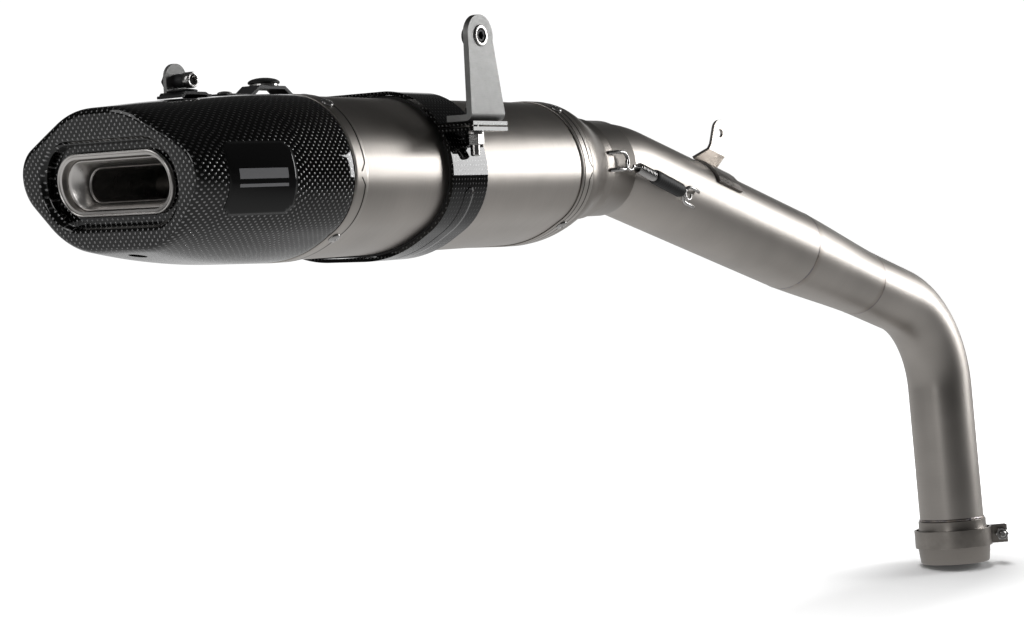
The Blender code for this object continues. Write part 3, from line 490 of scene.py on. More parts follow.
def carbon_cloth(name, shine=1.0, turned_cloth=False, rib=None):
    """Plain-weave carbon cloth under a clear coat: each yarn bulges in the bump, and its light is painted:
    warp yarns painted lit, weft yarns painted unlit, and each yarn's edges painted dark so only its crest
    carries a painted highlight; shine scales the painted lit yarns.
    """
    coat = {"Coat Weight": 1.0, "Coat Roughness": 0.025, "Coat IOR": 1.5}
    finish = Finish(name, {"Metallic": 1.0, "Specular Tint": grey(0.05), **coat})
    u, v = finish.cloth_place()
    warp, weft = u, v
    if turned_cloth:
        warp = finish.times(finish.plus(u, v), HALF_TURNED)
        weft = finish.times(finish.minus(v, u), HALF_TURNED)
    across = finish.math("DIVIDE", warp, TOW)
    along = finish.math("DIVIDE", weft, TOW)
    column = finish.math("FLOOR", across)
    row = finish.math("FLOOR", along)
    over = finish.math("FLOORED_MODULO", finish.plus(column, row), 2.0)
    over = finish.math("GREATER_THAN", over, 0.5)

    def bulge(place, cell):
        """A yarn's rounded section, from its own cell of the weave."""
        from_middle = finish.minus(finish.minus(place, cell), 0.5)
        return finish.math("COSINE", finish.times(from_middle, 3.0))

    # Fibre streaks between a dark and a light grey; the two greys carry the yarn's painted light.
    def yarn_streaks_painted_light(first, second, dark, light):
        place = finish.add("CombineXYZ", {0: first, 1: second}).outputs[0]
        return finish.mix(finish.span(finish.noise(place, 1.0, 2.0), 0.3, 0.7), grey(dark), grey(light))

    hump = finish.times(bulge(across, column), bulge(along, row))
    # Painted light: the warp yarns' greys are a lit copy and the weft yarns' an unlit copy of one carbon; the
    # streaks along the fibres are their grain.
    painted_lit_warp = yarn_streaks_painted_light(finish.times(across, FIBRES), along, 0.14 * shine, 0.44 * shine)
    painted_unlit_weft = yarn_streaks_painted_light(across, finish.times(along, FIBRES), 0.003, 0.010)
    shade = finish.mix(over, painted_unlit_weft, painted_lit_warp)
    # Painted shade at each yarn's edges, which leaves a painted highlight on its crest.
    shade = finish.mix(finish.span(hump, 0.35, 0.85), grey(0.002), shade)
    height = finish.times(hump, finish.span(over, 0.0, 1.0, 0.55, 1.0))
    if rib:
        raised = ribbed(finish, u, v, *rib)
        height = finish.plus(height, finish.times(raised, 3.0))
        finish.drive("Coat Normal", finish.bump(raised, 0.0009))
    finish.drive("Base Color", shade)
    finish.drive("Roughness", finish.span(over, 0.0, 1.0, 0.5, 0.30))
    finish.drive("Normal", finish.bump(height, 0.00042))
    return finish.material


def ribbed(finish, u, v, start, end, middle, half_width):
    """A raised rib with a round end, along the outline from start to end: 1 on it, 0 beside it."""
    past = finish.math("MAXIMUM", finish.minus(u, end), finish.minus(start, u))
    past = finish.math("MAXIMUM", past, 0.0)
    beside = finish.minus(v, middle)
    away = finish.math("SQRT", finish.plus(finish.times(past, past), finish.times(beside, beside)))
    return finish.span(away, half_width - 0.6, half_width + 0.6, 1.0, 0.0)


def cast_metal(name, colour, roughness, pits=0.0, metallic=1.0, scratch=0.3):
    """Solid metal by its place in space: fine pits or polish, faint scratches and cloudy tone."""
    finish = Finish(name, {"Metallic": metallic})
    place = finish.object_place()
    fine = finish.noise(place, 2600.0, 3.0)
    cloud = finish.noise(place, 60.0, 3.0)
    marks = finish.noise(finish.stretched(place, (180.0, 180.0, 1600.0)), 1.0, 5.0)
    shade = finish.mix(finish.span(cloud, 0.3, 0.7), shaded(colour, 0.82), shaded(colour, 1.12))
    shade = finish.mix(finish.span(marks, 0.62, 0.74, 0.0, scratch), shade, shaded(colour, 0.5))
    rough = finish.span(marks, 0.3, 0.7, roughness - 0.05, roughness + 0.05)
    height = finish.plus(finish.times(fine, pits), finish.times(marks, 0.25))
    finish.drive("Base Color", shade)
    finish.drive("Roughness", finish.plus(rough, finish.span(cloud, 0.3, 0.7, -0.03, 0.05)))
    finish.drive("Normal", finish.bump(height, 0.00006))
    return finish.material


def moulded(name, colour, roughness):
    """Rubber or paint: a soft grain and slightly worn tone."""
    finish = Finish(name, {"Specular IOR Level": 0.4})
    place = finish.object_place()
    grain = finish.noise(place, 1500.0, 3.0)
    cloud = finish.noise(place, 80.0, 2.0)
    shade = finish.mix(finish.span(cloud, 0.3, 0.7), shaded(colour, 0.7), shaded(colour, 1.6))
    finish.drive("Base Color", shade)
    finish.drive("Roughness", finish.span(cloud, 0.3, 0.7, roughness - 0.06, roughness + 0.08))
    finish.drive("Normal", finish.bump(grain, 0.00008))
    return finish.material


def wool(name):
    finish = Finish(name, {"Roughness": 0.95})
    strands = finish.noise(finish.stretched(finish.object_place(), (90.0, 700.0, 700.0)), 1.0, 6.0)
    finish.drive("Base Color", finish.mix(strands, rgb(0.55, 0.50, 0.36), rgb(0.85, 0.82, 0.70)))
    finish.drive("Normal", finish.bump(strands, 0.0008))
    return finish.material


def weld_metal(name):
    """A weld bead: brighter ripples with straw and blue heat colours."""
    finish = Finish(name, {"Metallic": 1.0, "Roughness": 0.28})
    place = finish.object_place()
    heat = finish.noise(place, 140.0, 2.0)
    shade = finish.mix(finish.span(heat, 0.35, 0.65), rgb(0.36, 0.31, 0.27), rgb(0.24, 0.23, 0.25))
    finish.drive("Base Color", shade)
    finish.drive("Normal", finish.bump(finish.noise(place, 900.0, 2.0), 0.00008))
    return finish.material


def decal_film(name):
    """A plain black film with two level grey stripes."""
    finish = Finish(name, {"Roughness": 0.12, "Specular IOR Level": 0.35})
    u, v = finish.cloth_place()
    inset = finish.math("LESS_THAN", finish.apart(u, 0.5), 0.36)

    def stripe(middle, half_width):
        return finish.math("LESS_THAN", finish.apart(v, middle), half_width)

    stripes = finish.times(inset, finish.math("MAXIMUM", stripe(0.56, 0.07), stripe(0.40, 0.022)))
    speck = finish.span(finish.noise(finish.object_place(), 900.0, 2.0), 0.3, 0.7, 0.0, 0.2)
    paint = finish.mix(speck, rgb(0.34, 0.34, 0.35), rgb(0.22, 0.22, 0.23))
    finish.drive("Base Color", finish.mix(stripes, grey(0.006), paint))
    return finish.material


TITANIUM = (0.47, 0.44, 0.41)
DARK_TITANIUM = (0.33, 0.305, 0.28)
FINISH = {
    "titanium": cast_metal("titanium_plain", TITANIUM, 0.30, pits=0.1),
    "dark_titanium": cast_metal("dark_titanium_plain", DARK_TITANIUM, 0.34, pits=0.1),
    "carbon": carbon_cloth("carbon"),
    "alloy": cast_metal("blasted_alloy", (0.30, 0.30, 0.295), 0.50, pits=1.1, scratch=0.15),
    "steel": cast_metal("bright_steel", (0.50, 0.49, 0.48), 0.22, pits=0.1),
    "black_steel": cast_metal("black_steel", (0.035, 0.035, 0.036), 0.42, pits=0.5, metallic=0.5),
    "rubber": moulded("black_rubber", (0.012, 0.012, 0.012), 0.55),
    "packing": wool("glass_wool"),
    "sleeve": sheet_metal("sleeve_titanium", TITANIUM, 0.37, grain=0.8),
    "rear_band": sheet_metal("rear_band_titanium", TITANIUM, 0.34, lines=((8.8, 3.0),)),
    "front_band": sheet_metal("front_band_titanium", TITANIUM, 0.34, lines=((2.6, 0.0), (8.4, -3.0))),
    "pipe": sheet_metal("pipe_titanium", TITANIUM, 0.40, grain=0.35),
    "cone": sheet_metal("cone_titanium", TITANIUM, 0.40, grain=0.35, seams=(0.0, CONE_TO - CONE_FROM)),
    "inlet": sheet_metal("inlet_titanium", DARK_TITANIUM, 0.36, grain=0.6),
    # A lighter copy of the titanium for the outlet and its insert: painted light, so the inside of the outlet
    # reads lit.
    "duct": sheet_metal("duct_titanium", (0.60, 0.58, 0.56), 0.30, grain=0.6),
    "strap": carbon_cloth("strap_carbon", 0.30, turned_cloth=True, rib=(14.0, 150.0, 18.0, 4.2)),
    "weld": weld_metal("weld_bead"),
    "decal": decal_film("plain_decal"),
}


# ---------------------------------------------------------------- making pieces

def adopt(piece, node, body=None):
    """Let a piece stand for a CAD node, or ride on a body as an added detail."""
    if node:
        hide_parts(node)
    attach(piece, body or BODY_OF[node])
    return piece


def new_object(name, mesh_data):
    """An object out of a bmesh, which is used up."""
    mesh = bpy.data.meshes.new(name)
    mesh_data.to_mesh(mesh)
    mesh_data.free()
    piece = bpy.data.objects.new(name, mesh)
    bpy.context.collection.objects.link(piece)
    return piece


def build(name, mesh_data, finish, node=None, body=None):
    """A finished piece out of a bmesh in millimetres."""
    bmesh.ops.recalc_face_normals(mesh_data, faces=mesh_data.faces)
    bmesh.ops.scale(mesh_data, verts=mesh_data.verts, vec=(MM, MM, MM))
    piece = new_object(name, mesh_data)
    piece.data.shade_smooth()
    piece.data.set_sharp_from_angle(angle=SHARP_ANGLE)
    piece.data.materials.append(FINISH[finish])
    return adopt(piece, node, body)


def running(points, zero):
    """Distances along a closed line of points, from the point numbered zero."""
    line = points + [points[0]]
    along = [0.0]
    for a, b in zip(line, line[1:]):
        along.append(along[-1] + (b - a).length)
    return [s - along[zero] for s in along]


def across_from_sides(points):
    """Distances up and down a silencer ring from its widest line on each side: positive is up."""
    count = len(points)
    line = running(points, 0)
    widest = max(range(count // 2), key=lambda i: points[i].y)
    left, right = line[widest], line[count - widest]
    return [left - s if i <= count // 2 else s - right for i, s in enumerate(line)]


def skin(name, rings, finish, node=None, body=None, closed=False, measure=None, flat=range(0)):
    """A surface over rings of equal count, with sheet coordinates in millimetres.

    measure gives a ring's distances along its outline; rings numbered in flat use plain y and z instead.
    """
    mesh_data = bmesh.new()
    sheet = mesh_data.loops.layers.uv.new("sheet")
    loops = [[mesh_data.verts.new(p) for p in ring] for ring in rings]
    count = len(rings[0])
    measure = measure or (lambda ring: running(ring, 0))
    lengths = [measure(ring) for ring in rings]
    depth = [0.0]
    for ring, following in zip(rings, rings[1:] + [rings[0]]):
        steps = [(q - p).length for p, q in zip(ring[::8], following[::8])]
        depth.append(depth[-1] + sum(steps) / len(steps))
    if not closed:
        for end in (loops[0], loops[-1]):
            lid = mesh_data.faces.new(end)
            for corner in lid.loops:
                corner[sheet].uv = (corner.vert.co.y, corner.vert.co.z)
    for k in range(len(rings) if closed else len(rings) - 1):
        after = (k + 1) % len(rings)
        for i in range(count):
            j = (i + 1) % count
            quad = mesh_data.faces.new((loops[k][i], loops[k][j], loops[after][j], loops[after][i]))
            places = ((k, i, 0), (k, i + 1, 0), (after, i + 1, 1), (after, i, 1))
            for corner, (ring, point, step) in zip(quad.loops, places):
                if k in flat:
                    corner[sheet].uv = (corner.vert.co.y, corner.vert.co.z)
                else:
                    corner[sheet].uv = (lengths[ring][point], depth[k + step])
    return build(name, mesh_data, finish, node, body)


def shell(name, outer, inner, finish, node=None, body=None, measure=None, flat=range(0)):
    """A hollow piece, open at both ends, from outer rings and inner rings."""
    return skin(name, outer + inner[::-1], finish, node, body, True, measure, flat)


def turned(name, steps, base, axis, finish, node=None, body=None):
    """A solid bar along an axis from (outline, distance) steps."""
    rings = [ring_on(axis, base + axis * along, outline) for outline, along in steps]
    return skin(name, rings, finish, node, body)


def tube(name, outer, inner, base, axis, finish, node=None, body=None):
    """A hollow turned piece from outer and inner (outline, distance) steps."""
    outside = [ring_on(axis, base + axis * along, outline) for outline, along in outer]
    inside = [ring_on(axis, base + axis * along, outline) for outline, along in inner]
    return shell(name, outside, inside, finish, node, body)


def soften(piece, width=0.4, segments=3, angle=40.0):
    """Rounded edges, as a pressed or machined part has."""
    bevel = piece.modifiers.new("edges", "BEVEL")
    bevel.width = width * MM
    bevel.segments = segments
    bevel.limit_method = "ANGLE"
    bevel.angle_limit = math.radians(angle)
    bevel.harden_normals = True


def drill(piece, centre, axis, outline, depth):
    """Cut a hole of an outline through a piece, centred on a point."""
    mesh_data = bmesh.new()
    rings = [ring_on(axis, centre + axis * along, outline) for along in (-depth / 2, depth / 2)]
    loops = [[mesh_data.verts.new(p * MM) for p in ring] for ring in rings]
    for end in loops:
        mesh_data.faces.new(end)
    for i in range(len(outline)):
        j = (i + 1) % len(outline)
        mesh_data.faces.new((loops[0][i], loops[0][j], loops[1][j], loops[1][i]))
    bmesh.ops.recalc_face_normals(mesh_data, faces=mesh_data.faces)
    cutter = new_object("drill", mesh_data)
    cut = piece.modifiers.new("hole", "BOOLEAN")
    cut.operation = "DIFFERENCE"
    cut.object = cutter
    bpy.context.view_layer.update()
    depsgraph = bpy.context.evaluated_depsgraph_get()
    drilled = bpy.data.meshes.new_from_object(piece.evaluated_get(depsgraph))
    piece.modifiers.clear()
    piece.data = drilled
    drilled.set_sharp_from_angle(angle=SHARP_ANGLE)
    bpy.data.objects.remove(cutter)


def sweep(name, path, radius, finish, node=None, body=None, points=12):
    """A round wire along a path of points. radius may be one number or one for each point."""
    radii = radius if isinstance(radius, list) else [radius] * len(path)
    headings = []
    for k in range(len(path)):
        headings.append((path[min(k + 1, len(path) - 1)] - path[max(k - 1, 0)]).normalized())
    side = headings[0].orthogonal().normalized()
    rings = []
    for k, (point, heading) in enumerate(zip(path, headings)):
        if k:
            side = headings[k - 1].rotation_difference(heading) @ side
        side = (side - heading * side.dot(heading)).normalized()
        rise = heading.cross(side)
        rings.append([point + side * p.x + rise * p.y for p in circle(radii[k], points)])
    return skin(name, rings, finish, node, body)


# ---------------------------------------------------------------- silencer body

def rounded_edge(x, grow, step):
    """Rings of a sheet's rounded edge: step is +1 at its low end and -1 at its high end."""
    return [station(x, section(grow - 0.35)), station(x + 0.12 * step, section(grow - 0.12)),
            station(x + 0.35 * step, section(grow))]


def make_sleeve():
    length = SLEEVE_LENGTH - 1.0
    outer = [station(1.0 + length * k / 12, section(-0.7)) for k in range(13)]
    inner = [station(x, section(-0.7 - SLEEVE_SHEET)) for x in (1.0, SLEEVE_LENGTH)]
    shell("sleeve_sheet", outer, inner, "sleeve", "silencer_sleeve", measure=across_from_sides)


def make_band(name, span):
    low, high = span
    grow = BAND_SHEET - 0.4
    outer = rounded_edge(low, grow, 1)
    outer += [station(low + (high - low) * k / 6, section(grow)) for k in range(1, 6)]
    outer += rounded_edge(high, grow, -1)[::-1]
    inner = [station(x, section(-0.4)) for x in span]
    shell(name + "_sheet", outer, inner, name, name, measure=across_from_sides)


def cap_ring(t, inset=0.0):
    """A ring of the end cap's loft, from t = 0 at the band to t = 1 at the rear face."""
    outline = blend(section(-inset), face(-inset), t ** 2.2)
    return station(-(CAP_LENGTH - inset) * t, outline, RAKE * t)


def make_end_cap():
    rear = -CAP_LENGTH
    opening = stadium(OUTLET[0] + GAP, OUTLET[1] + GAP)
    outer = [station(CAP_SPIGOT, section(-2.0)), station(-0.3, section(-2.0))]
    outer += [cap_ring(0.003, 0.5), cap_ring(0.006, 0.12), cap_ring(0.012)]
    outer += [cap_ring(0.05 * k) for k in range(1, 19)] + [cap_ring(0.94), cap_ring(0.97)]
    edge = [(2.2, 0.15), (1.2, -0.35), (0.45, -1.3), (0.08, -2.6), (0.0, -3.6)]
    outer += [station(rear + x, face(grow), RAKE) for x, grow in edge]
    flat_from = len(outer) - 3
    step_width, step_height = STEP_SIZE
    slope = [(0.0, 2.6), (0.25, 1.5), (0.9, 0.7), (2.0, 0.1), (3.0, -0.5), (3.4, -1.2), (STEP_DEPTH, -2.2)]
    for depth, grow in slope:
        outer.append(station(rear + depth, stadium(step_width + grow, step_height + grow), RAKE))
    outer.append(station(rear + STEP_DEPTH, opening, RAKE))
    inner = [station(CAP_SPIGOT, section(-4.5)), cap_ring(0.003, 4.5)]
    inner += [cap_ring(t, CAP_WALL) for t in (0.25, 0.5, 0.7, 0.86)]
    back_of_step = rear + STEP_DEPTH + CAP_WALL
    inner += [station(back_of_step, blend(opening, face(-6.0), 0.75), RAKE)]
    inner += [station(back_of_step, opening, RAKE)]
    cap = shell("end_cap_shell", outer, inner, "carbon", "end_cap", measure=across_from_sides,
                flat=range(flat_from, len(outer) - 1))
    drill(cap, SILENCER + Vector((SCREW_X, 0.0, -38.0)), Z_AXIS, circle(5.5, 32), 22.0)


def make_decal():
    """A plain decal on the cap's right side, with no mark on it but two level stripes."""
    steps, rounding = 24, 2
    low, high = DECAL_HEIGHT
    rows = []
    for k in range(steps + 1):
        t = (DECAL_SPAN[0] + (DECAL_SPAN[1] - DECAL_SPAN[0]) * k / steps) / CAP_LENGTH
        ring = cap_ring(t, -DECAL_FILM)
        line = [p - SILENCER for p in ring if p.y < SILENCER.y - 30]
        rows.append([p for p in line if -26.0 < p.z < 26.0])
    mesh_data = bmesh.new()
    sheet = mesh_data.loops.layers.uv.new("sheet")
    grid = []
    for row in rows:
        ordered = sorted(row, key=lambda p: p.z)
        spots = []
        for j in range(steps + 1):
            z = low + (high - low) * j / steps
            for p, q in zip(ordered, ordered[1:]):
                if p.z <= z <= q.z:
                    spots.append(mesh_data.verts.new(SILENCER + p.lerp(q, (z - p.z) / (q.z - p.z))))
                    break
        grid.append(spots)
    for k in range(steps):
        for j in range(steps):
            if min(k, steps - 1 - k) + min(j, steps - 1 - j) < rounding:
                continue
            quad = mesh_data.faces.new((grid[k][j], grid[k + 1][j], grid[k + 1][j + 1], grid[k][j + 1]))
            places = ((k, j), (k + 1, j), (k + 1, j + 1), (k, j + 1))
            for corner, (along, up) in zip(quad.loops, places):
                corner[sheet].uv = (1.0 - along / steps, up / steps)
    piece = build("plain_decal", mesh_data, "decal", body="silencer")
    thick = piece.modifiers.new("film", "SOLIDIFY")
    thick.thickness = DECAL_FILM * MM
    thick.offset = 1.0


def make_outlet():
    """The outlet tube: a rolled lip, a slot-shaped mouth and a round socket on the core tube."""
    lip_x = -CAP_LENGTH + LIP_DEPTH
    socket = CORE_RADIUS + 1.2 + OUTLET_WALL
    width, height = OUTLET

    def towards_core(slot, radius):
        """Rings that turn the slot into the round socket."""
        shares = ((-60.0, 0.0), (-45.0, 0.35), (-30.0, 0.8), (-20.0, 1.0), (-6.0, 1.0))
        return [station(x, blend(slot, circle(radius, RING_POINTS), share)) for x, share in shares]

    outer = []
    for k in range(9):
        angle = math.radians(-60 + 30 * k)
        grow = LIP / 2 + LIP / 2 * math.sin(angle)
        outer.append(station(lip_x + 0.6 - 1.7 * math.cos(angle), stadium(width + grow, height + grow), RAKE))
    slot = stadium(width, height)
    outer += [station(lip_x + 2.4, slot, RAKE)] + towards_core(slot, socket)
    slot = stadium(width - OUTLET_WALL, height - OUTLET_WALL)
    inner = [station(lip_x, stadium(width - 1.2, height - 1.2), RAKE), station(lip_x + 1.0, slot, RAKE)]
    inner += towards_core(slot, socket - OUTLET_WALL)
    shell("outlet_tube_sheet", outer, inner, "duct", "outlet_tube")


def make_outlet_insert():
    """The removable noise insert: a rolled mouth, a smooth funnel and a straight slot tube."""
    front = -CAP_LENGTH + LIP_DEPTH + 4.0
    wide = (OUTLET[0] - OUTLET_WALL - GAP, OUTLET[1] - OUTLET_WALL - GAP)
    mouth_width, mouth_height = INSERT_MOUTH
    outer = [station(front, stadium(wide[0] - 0.4, wide[1] - 0.4), RAKE)]
    outer += [station(front + 0.5, stadium(*wide), RAKE), station(front + 22.0, stadium(*wide))]
    outer += [station(front + 26.0, stadium(mouth_width + 1.3, mouth_height + 1.3))]
    outer += [station(front + INSERT_LENGTH, stadium(mouth_width - 4.0, mouth_height + 1.3))]
    inner = [station(front, stadium(wide[0] - 0.9, wide[1] - 0.9), RAKE)]
    for k in range(1, 9):
        t = k / 8
        ease = math.sin(t * math.pi / 2)
        width = (wide[0] - 1.2) + (mouth_width - wide[0] + 1.2) * ease
        height = (wide[1] - 1.2) + (mouth_height - wide[1] + 1.2) * ease
        inner.append(station(front + 9.0 * t, stadium(width, height), RAKE * (1 - t)))
    for along, shrink in ((9.5, 0.55), (10.1, 0.8), (10.8, 0.6), (11.3, 0.0)):
        inner.append(station(front + along, stadium(mouth_width - shrink, mouth_height - shrink)))
    inner += [station(front + 24.0, stadium(*INSERT_MOUTH))]
    inner += [station(front + INSERT_LENGTH, stadium(mouth_width - 5.3, mouth_height))]
    shell("outlet_insert_sheet", outer, inner, "duct", "outlet_insert")


def make_inlet_cap():
    """The front cap: a spigot in the sleeve, a rounded edge and a cone down to the stub's neck."""
    shares = ((254.3, 0.0), (256.5, 0.002), (258.0, 0.008), (260.5, 0.035), (263.0, 0.08), (267.0, 0.18),
              (271.0, 0.31), (275.0, 0.45), (279.0, 0.60), (283.0, 0.75), (287.0, 0.88), (290.0, 0.965),
              (NECK_START, 1.0), (NECK_END, 1.0))

    def ring(x, share, inset):
        neck = circle(STUB_RADIUS + GAP + NECK_SHEET - inset, RING_POINTS, STUB_AXIS)
        return station(x, blend(section(-inset), neck, share))

    outer = [station(240.0, section(-2.0)), station(253.6, section(-2.0))]
    outer += [ring(x, share, 0.0) for x, share in shares]
    inner = [station(240.0, section(-3.4)), station(253.6, section(-3.4))]
    inner += [ring(x - 1.5, share, NECK_SHEET) for x, share in shares[5:-2]]
    inner += [ring(NECK_START, 1.0, NECK_SHEET), ring(NECK_END, 1.0, NECK_SHEET)]
    shell("inlet_cap_sheet", outer, inner, "inlet", "inlet_cap")


def make_stub():
    radii = ((262.0, 0.0), (STUB_END - 0.5, 0.0), (STUB_END - 0.1, -0.25), (STUB_END, -0.6))
    outer = [station(x, circle(STUB_RADIUS + grow, PIPE_POINTS, STUB_AXIS)) for x, grow in radii]
    inner = [station(x, circle(STUB_RADIUS - STUB_WALL, PIPE_POINTS, STUB_AXIS)) for x in (262.0, STUB_END)]
    shell("inlet_stub_sheet", outer, inner, "inlet", "inlet_stub")


def make_rivets():
    """Pop rivets: a flange, a low dome and the broken end of the pin in its middle."""
    profile = ((4.0, 0.1), (4.0, 0.5), (3.8, 0.8), (3.1, 1.3), (2.2, 1.6), (1.5, 1.7), (1.4, 1.45),
               (0.9, 1.45), (0.8, 1.7), (0.3, 1.8))
    places = {"rear": sum(REAR_BAND) / 2, "front": sum(FRONT_BAND) / 2}
    for end, x in places.items():
        for side, sign in (("left", 1), ("right", -1)):
            for level, height in (("upper", 43.0), ("lower", -36.0)):
                foot, outward = surface_point(x, sign, height)
                node = f"rivet_{end}_{side}_{level}"
                turned(node + "_head", rounds(profile, 32), foot, outward, "steel", node)


# ---------------------------------------------------------------- strap clamp and hanger

def make_strap():
    """The carbon strap: an open band split on the right side, with two ears and a raised rib."""
    low, high = EAR_GAP
    inside = section(LINER_SHEET)
    outside = section(LINER_SHEET + STRAP_SHEET)

    def open_line(outline, below, above):
        """The outline from the split's upper edge round the silencer to its lower edge."""
        half = len(outline) // 2
        rising = outline[half:]
        right_side = [p for p in rising if p.x < -60]
        ends = {}
        for height in (below, above):
            for p, q in zip(right_side, right_side[1:]):
                if p.y <= height <= q.y:
                    ends[height] = p.lerp(q, (height - p.y) / (q.y - p.y))
        tail = [p for p in rising if p.x < 0 and p.y > above]
        head = outline[:half] + [p for p in rising if p.x >= 0 or p.y < below]
        return [ends[above]] + tail + head + [ends[below]]

    top, bottom = high + STRAP_SHEET, low - STRAP_SHEET
    outline = [Vector((EAR_TIP, high))] + open_line(inside, low, high)
    outline += [Vector((EAR_TIP, low)), Vector((EAR_TIP, bottom))]
    outline += open_line(outside, bottom, top)[::-1] + [Vector((EAR_TIP, top))]
    zero = max(range(len(outline) // 2, len(outline)),
               key=lambda i: -outline[i].x if outline[i].x > -100 and outline[i].y < 10 else -999)
    rings = [[SILENCER + Vector((x, p.x, p.y)) for p in outline] for x in STRAP]
    strap = skin("strap_band", rings, "strap", "strap_clamp", measure=lambda ring: running(ring, zero))
    drill(strap, SILENCER + Vector((*STRAP_BOLT, EAR_GAP[0])), Z_AXIS, circle(3.4, 32), 20.0)
    soften(strap, 0.45, 3, 50.0)


def make_hanger():
    """The folded alloy bracket: a foot on the strap's ears and a tall tapered plate with a round top."""
    half = HANGER_SHEET / 2
    foot_z = EAR_GAP[1] + STRAP_SHEET + GAP + half
    hole_x, hole_z = HANGER_HOLE
    down, out = -Z_AXIS, -Y_AXIS

    def across(left, right, y, z, normal):
        middle = SILENCER + Vector((0.0, y, z))
        outer, inner = middle + normal * half, middle - normal * half
        return [outer + X_AXIS * left, outer + X_AXIS * right, inner + X_AXIS * right, inner + X_AXIS * left]

    rings = [across(93.0, 128.0, HANGER_FOOT_END, foot_z, down)]
    for k in range(9):
        angle = math.radians(11.25 * k)
        normal = down * math.cos(angle) + out * math.sin(angle)
        y = HANGER_Y + 3.0 - 3.0 * math.sin(angle)
        z = foot_z + 3.0 - 3.0 * math.cos(angle)
        rings.append(across(93.0, 128.0, y, z, normal))
    for k in range(29):
        angle = math.radians(-12 + 3.55 * k)
        spread = HANGER_TOP_RADIUS * math.cos(angle)
        rings.append(across(hole_x - spread, hole_x + spread, HANGER_Y,
                            hole_z + HANGER_TOP_RADIUS * math.sin(angle), out))
    hanger = skin("hanger_plate", rings, "alloy", "hanger_bracket")
    drill(hanger, SILENCER + Vector((hole_x, HANGER_Y, hole_z)), Y_AXIS, circle(6.0), 20.0)
    drill(hanger, SILENCER + Vector((*STRAP_BOLT, foot_z)), Z_AXIS, circle(3.4, 32), 12.0)
    soften(hanger, 0.5, 3, 50.0)


def socket_screw(name, base, axis, shank, head, finish, node, socket=2.6):
    """A socket-head screw along its axis: shank is (radius, start) and head (radius, start, end)."""
    radius, low = shank
    head_radius, head_low, head_high = head
    rim = head_high - 0.6
    steps = rounds(((radius * 0.7, low), (radius, low + 0.8), (radius, head_low),
                    (head_radius - 0.2, head_low), (head_radius, head_low + 0.3), (head_radius, rim),
                    (head_radius - 0.2, head_high - 0.15), (head_radius - 0.7, head_high),
                    (socket + 0.55, head_high)))
    steps += [(hexagon(2 * socket), head_high - 0.3)]
    steps += [(hexagon(2 * socket), head_high - 2.6), (circle(0.4), head_high - 3.1)]
    turned(name, steps, base, axis, finish, node)


def make_hardware():
    """Bush and bolts of the hanger, and the bolts of the strap, the rear tab and the collar clamp."""
    hole = SILENCER + Vector((HANGER_HOLE[0], HANGER_Y, HANGER_HOLE[1]))
    near = HANGER_SHEET / 2
    outer = rounds(((5.9, near + 0.9), (6.4, near + 0.8), (6.7, near + 0.55), (6.7, near + 0.1),
                    (5.7, near + 0.1), (5.7, -near)))
    inner = rounds(((4.9, near + 0.9), (4.4, near + 0.5), (4.4, near + 0.1), (4.4, 0.0), (4.4, -1.0),
                    (4.4, -near)))
    tube("hanger_bush_ring", outer, inner, hole, -Y_AXIS, "steel", "hanger_bush")
    steps = [(circle(0.4), 0.6), (hexagon(4.6), 0.2), (hexagon(4.6), -2.2)]
    steps += rounds(((3.0, -2.4), (3.6, -2.3), (4.0, -1.8), (4.0, 2.4), (6.4, 2.4), (6.6, 2.7), (6.6, 7.6),
                     (6.3, 8.1), (5.6, 8.4)))
    turned("hanger_bolt_head", steps, hole, Y_AXIS, "black_steel", "hanger_bolt")
    foot_top = EAR_GAP[1] + STRAP_SHEET + GAP + HANGER_SHEET
    base = SILENCER + Vector((*STRAP_BOLT, 0.0))
    socket_screw("strap_bolt_screw", base, Z_AXIS, (BOLT_RADIUS, 10.0), (5.0, foot_top + 0.1, foot_top + 5.2),
                 "steel", "strap_bolt")
    socket_screw("rear_bolt_screw", SILENCER + REAR_HOLE, -Y_AXIS, (BOLT_RADIUS, -7.6), (4.8, 9.8, 15.0),
                 "steel", "rear_bolt")
    lug = CLAMP_SPLIT + CLAMP_SHEET
    socket_screw("clamp_bolt_screw", clamp_hole(), clamp_frame()[2], (BOLT_RADIUS, -11.6),
                 (5.0, lug + 0.1, lug + 5.0), "steel", "clamp_bolt")


def make_buttons():
    """The two rubber buffers: a rolled edge and a low dome."""
    rim = 0.8
    for node, (centre, radius, height) in BUTTONS.items():
        steps = [(radius * 0.95, 0.0), (radius * 0.99, 0.3), (radius, rim)]
        for k in range(1, 13):
            angle = math.radians(7 * k)
            steps.append((radius * math.cos(angle), rim + (height - rim) * math.sin(angle)))
        turned(node + "_dome", rounds(steps), SILENCER + Vector(centre), Z_AXIS, "rubber", node)


# ---------------------------------------------------------------- link pipe

def pipe(name, line, radii, finish, node):
    """A hollow pipe along (point, direction) pairs."""
    side, rise = facing(line[0][1])
    direction = line[0][1]
    outside, inside = [], []
    for (point, heading), radius in zip(line, radii):
        turn = direction.rotation_difference(heading)
        side, rise, direction = turn @ side, turn @ rise, heading
        for ring, r in ((outside, radius), (inside, radius - PIPE_WALL)):
            ring.append([point + side * p.x + rise * p.y for p in circle(r, PIPE_POINTS)])
    shell(name, outside, inside, finish, node)


